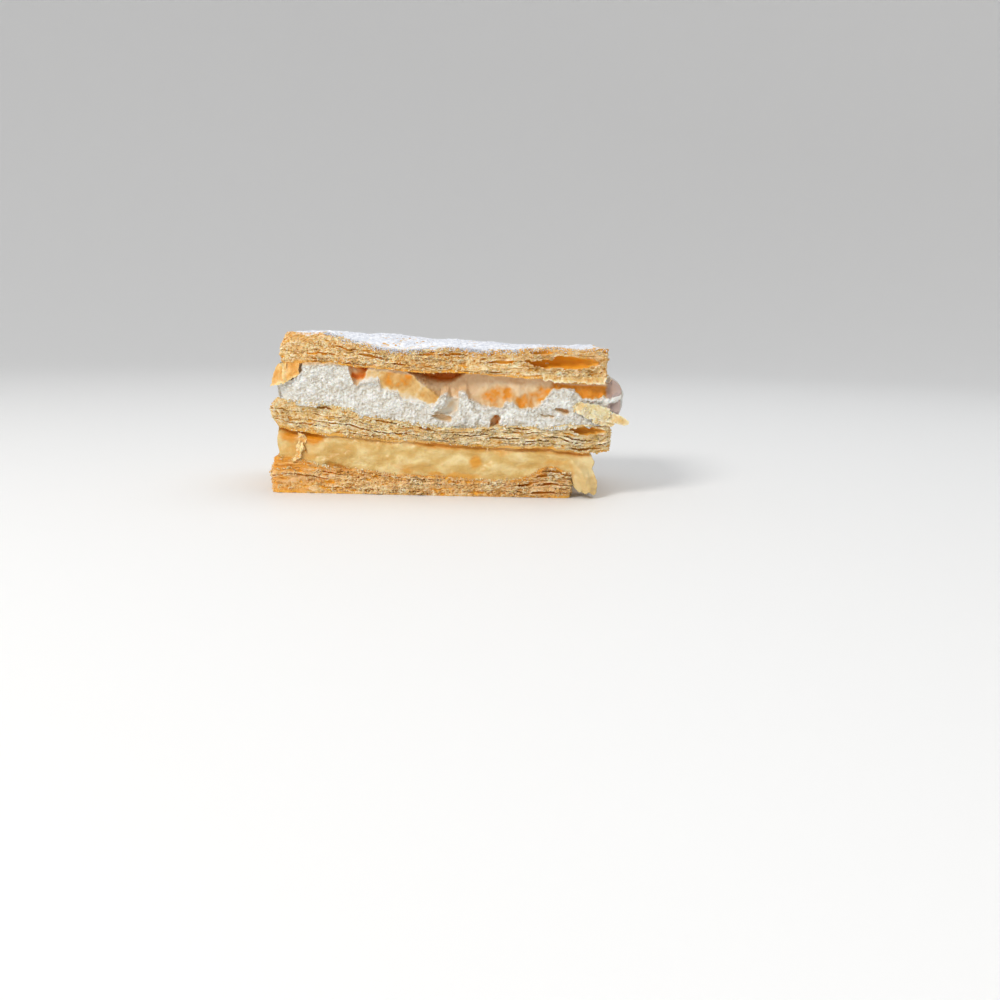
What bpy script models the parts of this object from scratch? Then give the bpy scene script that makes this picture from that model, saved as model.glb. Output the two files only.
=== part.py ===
"""A slice of mille-feuille, standing as it is served: three sheets of puff pastry, with piped whipped
cream under the top sheet and custard under the middle one. Metres, +Z up. X runs along the long cut
face, Y from the front cut (-Y) to the back cut, and the origin is the middle of the base.
The two ends of the slice (-X and +X) were the long sides of the cake: the piped ropes, which run
along X, end there in round lobes."""

import math

import bmesh
import bpy
from mathutils import Vector, noise

MM = 0.001

# The cake is laid out from near the left end of its middle sheet (x = 0), with y = 0 halfway between
# the two cuts, and is moved onto the origin at the end.
DEPTH = 48 * MM  # between the front cut and the back cut
STEP_X = 3.25 * MM  # the stations along X that every layer shares, so that their faces match
STEP_Y = 4 * MM
SHEET_YS = (-20, -16, -8, 0, 8, 16, 20)  # a sheet's stations between its two cuts, in millimetres
GAP = 0.4 * MM  # left between a layer and the next
TOUCH = 0.001 * MM  # nearer than this counts as on a line
ON_PLANE = 1e-7  # nearer than this counts as on a cutting plane
SHEET_ROWS = 5  # ridges and grooves up the edge of a sheet
FILLING_ROWS = 4

# Left and right ends of each layer.
TOP_SHEET = (2.8 * MM, 112.8 * MM)
MIDDLE_SHEET = (-0.8 * MM, 115.0 * MM)
BOTTOM_SHEET = (-0.9 * MM, 102.2 * MM)
CREAM = (4.2 * MM, 111.0 * MM)
CUSTARD = (3.4 * MM, 106.0 * MM)

# Heights of the faces between the layers, along the front cut and along the back cut:
# (millimetres from the left end, millimetres above the base).
CRUST_FRONT = ((3, 54.0), (19, 54.0), (27, 51.6), (38, 48.5), (57, 49.7), (73, 49.3), (93, 50.3), (113, 50.7))
CRUST_BACK = ((3, 53.4), (30, 52.8), (60, 51.0), (90, 49.8), (113, 49.6))
TOP_UNDER_FRONT = ((3, 43.3), (20, 43.8), (33, 42.8), (52, 41.2), (63, 41.4), (87, 40.2), (104, 38.8), (113, 38.9))
TOP_UNDER_BACK = ((3, 43.0), (40, 42.4), (80, 41.0), (113, 40.0))
MIDDLE_OVER_FRONT = ((0, 31.8), (14, 31.2), (25, 29.5), (33, 26.3), (45, 24.8), (60, 22.9), (80, 24.0), (115, 25.2))
MIDDLE_OVER_BACK = ((0, 30.5), (40, 26.5), (80, 25.0), (115, 25.5))
MIDDLE_UNDER_FRONT = ((0, 23.0), (9, 21.2), (22, 19.6), (45, 18.3), (76, 16.7), (91, 16.9), (104, 15.6), (115, 16.4))
MIDDLE_UNDER_BACK = ((0, 21.0), (40, 18.6), (80, 17.5), (115, 17.0))
BOTTOM_OVER_FRONT = ((0, 12.3), (10, 11.5), (22, 8.8), (45, 7.0), (75, 5.8), (84, 6.6), (94, 10.8), (103, 7.8))
BOTTOM_OVER_BACK = ((0, 11.0), (30, 8.2), (60, 8.6), (103, 9.0))

# The cream's ragged upper edge in the front cut. It has torn away from the top sheet to the right.
CREAM_EDGE = (
    (2, 37.0), (7, 42.8), (25, 43.2), (29.3, 36.2), (33, 41.6), (45, 40.8), (52, 35.5), (58.5, 34.6), (62, 29.0),
    (65, 34.6), (72, 30.0), (84, 30.6), (90, 31.4), (94.5, 36.6), (101, 36.0), (106, 33.8), (112, 35.0),
)

# The top sheet's front edge holds one long blister, open at the cut.
BLISTER = (85 * MM, 110 * MM)
BLISTER_DEPTH = 4 * MM
BLISTER_ROW = 3

# The ropes of filling lie side by side from front to back, and their lobes stand out at both ends.
# The cuts go through near the middle of a rope.
ROPE_PITCH = 16 * MM
CUT_IN_ROPE = 5 * MM
CREAM_LOBE = {"left": 2.2 * MM, "right": 7.4 * MM}
CUSTARD_LOBE = {"left": 1.2 * MM, "right": 3.4 * MM}

# A tongue of custard hangs over the end of the bottom sheet at the front right corner.
TONGUE_ROOT = 103.2 * MM  # just clear of the end of the bottom sheet
TONGUE_BACK = 104.0 * MM
TONGUE_TIP = 0.6 * MM  # its height above the base
TONGUE_WIDTH = 11 * MM  # back from the front cut
LOBE_UNDER = 9 * MM  # underside of the custard's other lobes

LEAF_RELIEF = 0.55 * MM  # how far the leaves at a sheet's edge stand out past the grooves between them
END_RELIEF = 0.7  # the share of it at the sheet's two ends
FILLING_INSET = 0.4 * MM  # how far the fillings' cut faces lie behind the sheets'
FILLING_PULL = 0.7 * MM  # how uneven the knife has left them
EDGE_ROUNDING = 2.4 * MM
RIPPLE = 0.35 * MM

COLOURS = {
    "top_sheet": ((0.80, 0.52, 0.22), 0.65),
    "cream": ((0.93, 0.91, 0.86), 0.45),
    "middle_sheet": ((0.78, 0.58, 0.30), 0.65),
    "custard": ((0.90, 0.72, 0.30), 0.30),
    "bottom_sheet": ((0.74, 0.49, 0.22), 0.65),
}


def smooth(t):
    t = max(0.0, min(1.0, t))
    return t * t * (3 - 2 * t)


def through(points, x):
    """A smooth line through (x, height) points in millimetres, read at x metres."""
    x = x / MM
    if x <= points[0][0]:
        return points[0][1] * MM
    for (x0, z0), (x1, z1) in zip(points, points[1:]):
        if x <= x1:
            return (z0 + (z1 - z0) * smooth((x - x0) / (x1 - x0))) * MM
    return points[-1][1] * MM


def face_between(front, back, seed):
    """The height of the face between two layers as a function of (x, y)."""

    def height(x, y):
        ripple = RIPPLE * noise.noise(Vector((x / (14 * MM), y / (14 * MM), seed)))
        share = smooth(0.5 + y / DEPTH)
        return through(front, x) * (1 - share) + through(back, x) * share + ripple

    return height


def crust(x, y):
    """The top of the slice. Its front edge is pressed down, and rises to full height 14 mm behind the cut."""
    behind = smooth((y + DEPTH / 2) / (14 * MM))
    blisters = 0.9 * MM * noise.noise(Vector((x / (11 * MM), y / (9 * MM), 4.0)))
    return through(CRUST_FRONT, x) * (1 - behind) + through(CRUST_BACK, x) * behind + blisters


top_under = face_between(TOP_UNDER_FRONT, TOP_UNDER_BACK, 11.0)
middle_over = face_between(MIDDLE_OVER_FRONT, MIDDLE_OVER_BACK, 23.0)
middle_under = face_between(MIDDLE_UNDER_FRONT, MIDDLE_UNDER_BACK, 37.0)
bottom_over = face_between(BOTTOM_OVER_FRONT, BOTTOM_OVER_BACK, 41.0)


def stations(low, high, step):
    """low, the whole steps between, and high."""
    clear = 1 / 3  # of a step: no station is nearer an end than this
    inner = [step * n for n in range(math.ceil(low / step + clear), math.floor(high / step - clear) + 1)]
    return [low, *inner, high]


def lattice(xs, ys, rows):
    """A closed box whose vertices lie where the planes of xs and ys and the rows up it cross.
    Returns it with the (x, y, share of the height) of each vertex as its place."""
    bm = bmesh.new()
    bmesh.ops.create_cube(bm, size=1.0)
    low = Vector((xs[0], ys[0], 0.0))
    high = Vector((xs[-1], ys[-1], 1.0))
    for vertex in bm.verts:
        vertex.co = [a + (b - a) * (c + 0.5) for a, b, c in zip(low, high, vertex.co)]
    cuts = [(x, (1, 0, 0)) for x in xs[1:-1]]
    cuts += [(y, (0, 1, 0)) for y in ys[1:-1]]
    cuts += [(row / rows, (0, 0, 1)) for row in range(1, rows)]
    for place, normal in cuts:
        everything = bm.verts[:] + bm.edges[:] + bm.faces[:]
        bmesh.ops.bisect_plane(
            bm, geom=everything, dist=ON_PLANE, plane_co=Vector(normal) * place, plane_no=normal
        )
    return bm


def finish(name, bm):
    """Makes the mesh an object of its own, in its own colour."""
    bmesh.ops.recalc_face_normals(bm, faces=bm.faces[:])
    mesh = bpy.data.meshes.new(name)
    bm.to_mesh(mesh)
    bm.free()
    mesh.shade_smooth()
    mesh.set_sharp_from_angle(angle=math.radians(40))
    part = bpy.data.objects.new(name, mesh)
    bpy.context.collection.objects.link(part)
    colour, roughness = COLOURS[name]
    material = bpy.data.materials.new(name)
    material.use_nodes = True
    surface = material.node_tree.nodes["Principled BSDF"]
    surface.inputs["Base Color"].default_value = (*colour, 1.0)
    surface.inputs["Roughness"].default_value = roughness
    mesh.materials.append(material)
    return part


def leaf_relief(along, row, seed):
    """How far the edge of a sheet stands out at this row: leaves and grooves by turns, broken by noise."""
    ridge = 1 if row % 2 else -1
    broken = noise.noise(Vector((along / (5 * MM), row * 7.3, seed)))
    return LEAF_RELIEF * (ridge + 1.4 * broken)


def blister_recess(x, row):
    """The depth of the blister in the front edge of the top sheet."""
    middle = sum(BLISTER) / 2
    half = (BLISTER[1] - BLISTER[0]) / 2
    inside = 1 - ((x - middle) / half) ** 2
    return BLISTER_DEPTH * math.sqrt(inside) if row == BLISTER_ROW and inside > 0 else 0.0


def sheet(name, ends, under, over, seed, blistered=False):
    """One sheet of puff pastry between two height functions, with leafed edges on all four sides."""
    xs = stations(*ends, STEP_X)
    ys = [-DEPTH / 2, *(y * MM for y in SHEET_YS), DEPTH / 2]
    bm = lattice(xs, ys, SHEET_ROWS)
    for vertex in bm.verts:
        x, y, share = vertex.co
        row = round(share * SHEET_ROWS)
        low, high = under(x, y), over(x, y)
        rounding = EDGE_ROUNDING * (2 * share - 1) ** 2
        outward_x = outward_y = 0.0
        if abs(x - xs[0]) < TOUCH or abs(x - xs[-1]) < TOUCH:
            side = -1 if x < sum(ends) / 2 else 1
            outward_x = side * (leaf_relief(y, row, seed + 3 * side) * END_RELIEF - rounding)
        if abs(abs(y) - DEPTH / 2) < TOUCH:
            side = -1 if y < 0 else 1
            outward_y = side * leaf_relief(x, row, seed + side)
            if blistered and side < 0:
                outward_y += blister_recess(x, row)
        vertex.co = (x + outward_x, y + outward_y, low + (high - low) * share)
    return finish(name, bm)


def lobe(y, share):
    """0 to 1: how far a rope's round end stands out, across the ropes (y) and up them (share)."""
    across = 2 * (((y + DEPTH / 2 + CUT_IN_ROPE) % ROPE_PITCH) / ROPE_PITCH) - 1
    upward = 2 * share - 1
    return math.sqrt(max(0.0, 1 - 0.75 * across * across)) * math.sqrt(max(0.0, 1 - upward * upward))


def filling(name, ends, lobes, under, over, extra_xs=(), seed=0.0):
    """One layer of piped filling, cut flat at the front and back, with its lobes at both ends."""
    xs = [*stations(*ends, STEP_X)[:-1], *extra_xs, ends[1]]
    ys = stations(-DEPTH / 2, DEPTH / 2, STEP_Y)
    bm = lattice(xs, ys, FILLING_ROWS)
    for vertex in bm.verts:
        x, y, share = vertex.co
        low, high = under(x, y), over(x, y)
        pull = FILLING_PULL * noise.noise(Vector((x / (9 * MM), share * 2, seed)))
        outward_x = outward_y = 0.0
        if abs(x - xs[0]) < TOUCH:
            outward_x = -lobes["left"] * lobe(y, share)
        if abs(x - xs[-1]) < TOUCH:
            outward_x = lobes["right"] * lobe(y, share)
        if abs(abs(y) - DEPTH / 2) < TOUCH:
            outward_y = pull - math.copysign(FILLING_INSET, y)
        vertex.co = (x + outward_x, y + outward_y, low + (high - low) * share)
    return finish(name, bm)


def cream_over(x, y):
    """The top of the cream: ragged in the front cut, and up against the top sheet behind it."""
    full = top_under(x, y) - GAP
    torn = min(full, through(CREAM_EDGE, x))
    behind = smooth((y + DEPTH / 2 - 2 * MM) / (9 * MM))
    return torn + (full - torn) * behind


def custard_under(x, y):
    """The underside of the custard: on the bottom sheet, and past its end down to the tongue's tip."""
    if x < TONGUE_ROOT + TOUCH:
        return bottom_over(x, y) + GAP
    across = smooth((y + DEPTH / 2 - TONGUE_WIDTH / 2) / TONGUE_WIDTH)
    return TONGUE_TIP + (LOBE_UNDER - TONGUE_TIP) * across


def centre(parts):
    """Moves the slice so that the middle of its base is the origin."""
    corners = [part.matrix_world @ Vector(corner) for part in parts for corner in part.bound_box]
    middle = [(min(axis) + max(axis)) / 2 for axis in zip(*corners)]
    for part in parts:
        for vertex in part.data.vertices:
            vertex.co -= Vector((middle[0], middle[1], 0.0))


def main():
    for old in list(bpy.data.objects):
        bpy.data.objects.remove(old)
    parts = [
        sheet("bottom_sheet", BOTTOM_SHEET, lambda x, y: 0.0, bottom_over, 5.0),
        filling(
            "custard", CUSTARD, CUSTARD_LOBE, custard_under, lambda x, y: middle_under(x, y) - GAP,
            extra_xs=(TONGUE_ROOT, TONGUE_BACK), seed=8.0,
        ),
        sheet("middle_sheet", MIDDLE_SHEET, middle_under, middle_over, 17.0),
        filling("cream", CREAM, CREAM_LOBE, lambda x, y: middle_over(x, y) + GAP, cream_over, seed=2.0),
        sheet("top_sheet", TOP_SHEET, top_under, crust, 29.0, blistered=True),
    ]
    centre(parts)


main()
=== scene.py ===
"""The looks of a slice of mille-feuille, made around its packed layers: crumbly sheets of puff pastry
with gaps between their leaves, torn whipped cream, set custard, loose leaves and crumbs, and icing sugar
on the crust. Metres, +Z up; the slice's long cut face looks towards -Y."""

import itertools
import math

import bmesh
import bpy
import numpy as np
from mathutils import Matrix, Vector
from mathutils.bvhtree import BVHTree


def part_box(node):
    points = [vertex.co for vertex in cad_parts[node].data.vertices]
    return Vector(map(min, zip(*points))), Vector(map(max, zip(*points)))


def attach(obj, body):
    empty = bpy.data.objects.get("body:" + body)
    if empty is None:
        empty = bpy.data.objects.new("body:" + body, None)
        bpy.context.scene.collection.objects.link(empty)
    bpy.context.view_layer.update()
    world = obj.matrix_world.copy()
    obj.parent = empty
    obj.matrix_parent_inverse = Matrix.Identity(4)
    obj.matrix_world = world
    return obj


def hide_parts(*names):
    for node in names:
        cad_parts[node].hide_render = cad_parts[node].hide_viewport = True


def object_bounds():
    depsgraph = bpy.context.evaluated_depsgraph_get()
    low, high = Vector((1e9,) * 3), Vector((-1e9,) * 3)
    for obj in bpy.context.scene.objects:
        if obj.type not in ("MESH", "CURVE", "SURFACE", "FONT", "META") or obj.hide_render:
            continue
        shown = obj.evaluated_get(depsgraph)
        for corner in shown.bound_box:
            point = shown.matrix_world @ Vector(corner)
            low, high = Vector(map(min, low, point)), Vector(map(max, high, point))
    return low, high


MM = 0.001
SEED = 7

# The layers as packed. Distances along the slice are measured from near the left end of its middle sheet.
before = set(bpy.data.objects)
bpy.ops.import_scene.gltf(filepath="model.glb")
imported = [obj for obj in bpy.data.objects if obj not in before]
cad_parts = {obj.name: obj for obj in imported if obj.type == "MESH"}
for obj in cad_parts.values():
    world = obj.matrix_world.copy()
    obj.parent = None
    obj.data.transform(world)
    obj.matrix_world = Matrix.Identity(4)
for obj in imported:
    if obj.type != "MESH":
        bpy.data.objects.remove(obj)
CAD_BOX = [list(corner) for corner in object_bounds()]
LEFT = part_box("middle_sheet")[0].x + 1.4 * MM
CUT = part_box("middle_sheet")[0].y + 0.9 * MM  # the plane of the front cut; the back cut mirrors it
ABOVE_BASE = 0.02 * MM  # nothing hangs lower than this
PROUD = 0.7 * MM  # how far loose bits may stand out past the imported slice, in front and behind
LEAF_OUT = 1.1  # loose leaves bend back past this, in millimetres out from the front cut
FRONT_STEP, END_STEP, BACK_STEP = 0.22 * MM, 0.36 * MM, 0.34 * MM  # between the stations round a layer


# ---------------------------------------------------------------- numbers and noise


def rough(points, size, seed):
    """Smooth noise from -1 to 1 at each point, in lumps of about this size, given as one number or three."""
    shape = points.shape[:-1]
    places = points.reshape(-1, 3) / np.asarray(size) + seed * 17.317
    places = places + 0.35 * np.sin(1.9 * places[:, [1, 2, 0]] + seed)
    cells = np.floor(places).astype(np.int64)
    part = places - cells
    part = part * part * (3 - 2 * part)
    total = np.zeros(len(places))
    for corner in itertools.product((0, 1), repeat=3):
        at = cells + corner
        mixed = (at[:, 0] * 73856093) ^ (at[:, 1] * 19349663) ^ (at[:, 2] * 83492791)
        mixed = (mixed ^ (mixed >> 13)) * 1274126177 & 0x7FFFFFFF
        mixed = (mixed ^ (mixed >> 15)) * 668265263 & 0x7FFFFFFF
        weight = np.prod(np.where(corner, part, 1 - part), axis=1)
        total += weight * ((mixed >> 8 & 0xFFFF) / 32767.5 - 1)
    return total.reshape(shape)


def crest(points, size, seed):
    """Noise in sharp ridges with round hollows between, from -1 to 1."""
    return 1 - 2 * np.abs(rough(points, size, seed)) ** 0.8


def billow(points, size, seed):
    """Noise in round bumps with sharp creases between, from -1 to 1."""
    return 2 * np.abs(rough(points, size, seed)) ** 0.7 - 1


def smooth(t):
    t = np.clip(t, 0.0, 1.0)
    return t * t * (3 - 2 * t)


def stacked(*columns):
    """Columns of numbers, or single numbers, as rows of points."""
    return np.stack(np.broadcast_arrays(*columns), axis=-1).astype(float)


def through(points, s):
    """A line through (distance along the slice, value) points, read at each distance."""
    return np.interp(s, *np.array(points).T)


class Heights:
    """The top and the underside of a packed layer, read by rays well inside its edges."""

    INSET = 3.0 * MM
    STEP = 1.5 * MM

    def __init__(self, node):
        self.low, self.high = (np.array(corner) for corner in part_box(node))
        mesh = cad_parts[node].data
        tree = BVHTree.FromPolygons([v.co for v in mesh.vertices], [list(p.vertices) for p in mesh.polygons])
        self.xs = np.arange(self.low[0] + self.INSET, self.high[0] - self.INSET, self.STEP)
        self.ys = np.arange(self.low[1] + self.INSET, self.high[1] - self.INSET, self.STEP)
        self.over = np.array([[self.hit(tree, x, y, 1) for y in self.ys] for x in self.xs])
        self.under = np.array([[self.hit(tree, x, y, -1) for y in self.ys] for x in self.xs])

    def hit(self, tree, x, y, side):
        start = self.high[2] + MM if side > 0 else self.low[2] - MM
        return tree.ray_cast(Vector((x, y, start)), Vector((0, 0, -side)))[0].z

    def read(self, table, x, y):
        i = np.clip((x - self.xs[0]) / self.STEP, 0, len(self.xs) - 1.001)
        j = np.clip((y - self.ys[0]) / self.STEP, 0, len(self.ys) - 1.001)
        i0, j0 = i.astype(int), j.astype(int)
        a, b = i - i0, j - j0
        near = table[i0, j0] * (1 - b) + table[i0, j0 + 1] * b
        far = table[i0 + 1, j0] * (1 - b) + table[i0 + 1, j0 + 1] * b
        return near * (1 - a) + far * a

    def top(self, x, y):
        return self.read(self.over, x, y)

    def bottom(self, x, y):
        return self.read(self.under, x, y)


# ---------------------------------------------------------------- making meshes


def mesh_from(bm):
    mesh = bpy.data.meshes.new("made")
    bm.to_mesh(mesh)
    bm.free()
    return mesh


def block(cells_x, cells_y, cells_z):
    """A closed unit box, each side cut into a grid of cells, whose points a layer then moves into place."""
    bm = bmesh.new()
    bmesh.ops.create_cube(bm, size=1.0, matrix=Matrix.Translation((0.5, 0.5, 0.5)))
    for axis, cells in enumerate((cells_x, cells_y, cells_z)):
        along = [e for e in bm.edges if abs(e.verts[0].co[axis] - e.verts[1].co[axis]) > 1e-6]
        if cells > 1:
            bmesh.ops.subdivide_edges(bm, edges=along, cuts=cells - 1)
    return mesh_from(bm)


def points_of(mesh):
    flat = np.empty(len(mesh.vertices) * 3)
    mesh.vertices.foreach_get("co", flat)
    return flat.reshape(-1, 3)


def move_points(mesh, points):
    mesh.vertices.foreach_set("co", np.ascontiguousarray(points, np.float32).ravel())
    mesh.update()


def note(mesh, **notes):
    """Stores numbers for each point, for the materials to read."""
    for name, values in notes.items():
        layer = mesh.attributes.new(name, "FLOAT", "POINT")
        values = np.clip(np.broadcast_to(values, len(mesh.vertices)), 0, 1)
        layer.data.foreach_set("value", np.ascontiguousarray(values, np.float32))


def mended(mesh, ends=()):
    """Welds the points numbered in ends to those they meet, and turns the faces outwards."""
    bm = bmesh.new()
    bm.from_mesh(mesh)
    if len(ends):
        bm.verts.ensure_lookup_table()
        bmesh.ops.remove_doubles(bm, verts=[bm.verts[i] for i in ends], dist=1e-7)
    bmesh.ops.recalc_face_normals(bm, faces=bm.faces[:])
    bm.to_mesh(mesh)
    bm.free()
    return mesh


def joined(meshes):
    bm = bmesh.new()
    for mesh in meshes:
        bm.from_mesh(mesh)
    return mesh_from(bm)


def scattered(bit, places, sizes, turns, curl, shake, seed):
    """One mesh of many copies of a small shape, each sized along its own axes, curled up at its long sides,
    made uneven, and turned about its length, its width and the upright."""
    unit = points_of(bit)
    spots = unit[None] * sizes[:, None]
    spots[..., 2] += np.multiply.outer(curl, unit[:, 1] ** 2)
    shaken = (rough(spots + places[:, None], 0.5 * MM, seed + axis) for axis in range(3))
    spots += shake[:, None, None] * stacked(*shaken)
    for (first, second), angle in zip(((1, 2), (0, 2), (0, 1)), turns):
        cos, sin = np.cos(angle)[:, None], np.sin(angle)[:, None]
        one, two = spots[..., first].copy(), spots[..., second].copy()
        spots[..., first], spots[..., second] = one * cos - two * sin, one * sin + two * cos
    spots += places[:, None]
    spots[..., 1] = np.clip(spots[..., 1], CAD_BOX[0][1] - PROUD, CAD_BOX[1][1] + PROUD)
    spots[..., 2] = np.maximum(spots[..., 2], ABOVE_BASE)
    mesh = joined([bit] * len(places))
    move_points(mesh, spots.reshape(-1, 3))
    return mesh


def lump_shape():
    """A rounded lump of radius 1."""
    bm = bmesh.new()
    bmesh.ops.create_icosphere(bm, subdivisions=2, radius=1.0)
    return mesh_from(bm)


def chip_shape():
    """An angular chip of half size 1."""
    bm = bmesh.new()
    bmesh.ops.create_cube(bm, size=2.0)
    return mesh_from(bm)


def flake_shape():
    """A thin plate of half length, half width and half thickness 1, narrower at its two ends."""
    mesh = block(6, 3, 1)
    a, b, c = (2 * points_of(mesh) - 1).T
    move_points(mesh, stacked(a, b * (1 - 0.75 * a**2), c))
    return mesh


def crumbs(name, surface, facing, weights, count, size, shape, material, node, slot, seed):
    """Chips, lumps or thin flakes caught on a surface, whose points are surface[row, station], most where
    weights says: each between two half lengths, in millimetres."""
    draw = np.random.default_rng(seed)
    picked = draw.choice(weights.size, size=count, p=weights.ravel() / weights.sum())
    row, station = np.unravel_index(picked, weights.shape)
    out = facing[station]
    shortest, longest = size
    length = shortest + (longest - shortest) * draw.uniform(0, 1, count) ** 2
    along = np.arctan2(out[:, 0], -out[:, 1])
    if shape is flake_shape:
        sizes = stacked(length, length * draw.uniform(0.25, 0.5, count), draw.uniform(0.04, 0.08, count))
        turns = draw.normal(0, 0.7, count), draw.normal(0, 0.15, count), along + draw.normal(0, 0.25, count)
        curl = draw.uniform(-0.5, 0.9, count) * sizes[:, 1]
    else:
        sizes = length[:, None] * draw.uniform(0.5, 1.2, (count, 3))
        turns = draw.uniform(-3, 3, (3, count))
        curl = np.zeros(count)
    proud = draw.uniform(-0.2, 0.4, count) * length * MM
    places = surface[row, station] + stacked(out[:, 0], out[:, 1], 0) * proud[:, None]
    mesh = scattered(shape(), places, sizes * MM, turns, curl * MM, (0.08 + 0.4 * length) * MM, seed)
    spots = points_of(mesh)
    tone = 0.65 + 0.5 * rough(spots, 1.2 * MM, seed + 5)
    note(mesh, inner=0.0, toast=0.3 + 0.6 * rough(spots, 3 * MM, seed + 6), tone=tone)
    piece(name, mesh, material, node, slot, sharp=70 if shape is lump_shape else 35)


class Ring:
    """A band of cells that runs all round an outline, with a closed section."""

    def __init__(self, stations, rows):
        bm = bmesh.new()
        bmesh.ops.create_cone(bm, cap_ends=False, segments=rows, radius1=1.0, radius2=1.0, depth=1.0)
        lengthwise = [e for e in bm.edges if abs(e.verts[0].co.z - e.verts[1].co.z) > 0.5]
        bmesh.ops.subdivide_edges(bm, edges=lengthwise, cuts=stations - 1)
        self.mesh = mesh_from(bm)
        unit = points_of(self.mesh)
        self.station = np.round((unit[:, 2] + 0.5) * stations).astype(int)
        self.ends = np.flatnonzero((self.station == 0) | (self.station == stations))
        self.station %= stations
        turn = np.arctan2(unit[:, 1], unit[:, 0]) / (2 * math.pi)
        self.row = np.round(turn * rows).astype(int) % rows

    def placed(self, points, **notes):
        """The band, with the point of each row and station where points[row, station] says."""
        move_points(self.mesh, points[self.row, self.station])
        note(self.mesh, **{name: values[self.row, self.station] for name, values in notes.items()})
        return mended(self.mesh, self.ends)


class Outline:
    """Stations round a layer, clockwise from above, from the middle of its back cut."""

    def __init__(self, low, high):
        self.middle = (low[:2] + high[:2]) / 2
        self.half = (high[:2] - low[:2]) / 2
        corners = [
            ((self.middle[0], high[1]), (high[0], high[1]), (0, 1), BACK_STEP),
            ((high[0], high[1]), (high[0], low[1]), (1, 0), END_STEP),
            ((high[0], low[1]), (low[0], low[1]), (0, -1), FRONT_STEP),
            ((low[0], low[1]), (low[0], high[1]), (-1, 0), END_STEP),
            ((low[0], high[1]), (self.middle[0], high[1]), (0, 1), BACK_STEP),
        ]
        places, facing = [], []
        for start, end, out, step in corners:
            count = max(2, round(math.dist(start, end) / step))
            share = np.arange(count)[:, None] / count
            places.append(np.array(start) * (1 - share) + np.array(end) * share)
            facing.append(np.tile(out, (count, 1)))
        self.places = np.concatenate(places)
        self.facing = np.concatenate(facing)
        self.x, self.y = self.places.T
        steps = np.linalg.norm(np.diff(self.places, axis=0, append=self.places[:1]), axis=1)
        self.along = np.concatenate([[0], np.cumsum(steps)[:-1]])
        self.length = steps.sum()
        self.front = self.facing[:, 1] < 0
        self.back = self.facing[:, 1] > 0
        self.ends = self.facing[:, 0] != 0
        self.side = np.sign(self.x - self.middle[0])
        self.from_corner = (self.half - np.abs(self.places - self.middle)).sum(axis=1)

    def __len__(self):
        return len(self.places)

    def inward(self, depth_x, depth_y):
        """Where the stations lie once the outline's ends and its cuts are drawn in by these depths."""
        x = self.middle[0] + (self.x - self.middle[0]) * (1 - depth_x / self.half[0])
        y = self.middle[1] + (self.y - self.middle[1]) * (1 - depth_y / self.half[1])
        return x, y

    def away(self, centre):
        """How far round the outline each station is from a place."""
        return np.abs((self.along - centre + self.length / 2) % self.length - self.length / 2)

    def front_place(self, x):
        """How far round the outline a place on the front cut is."""
        return self.along[self.front][0] + self.x[self.front][0] - x


def piece(name, mesh, material, node, slot, sharp=None):
    """Puts a finished mesh in the scene, riding on the slice and standing for its packed layer."""
    mesh.name = name
    mesh.shade_smooth()
    if sharp is not None:
        mesh.set_sharp_from_angle(angle=math.radians(sharp))
    mesh.materials.append(material)
    made = bpy.data.objects.new(name, mesh)
    bpy.context.scene.collection.objects.link(made)
    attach(made, "root")
    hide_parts(node)


# ---------------------------------------------------------------- materials


def srgb(*colour):
    """A colour as it looks, from 0 to 255, in the numbers that a shader mixes."""
    return tuple(((c / 255 + 0.055) / 1.055) ** 2.4 if c > 10 else c / 3294.6 for c in colour)


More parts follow.
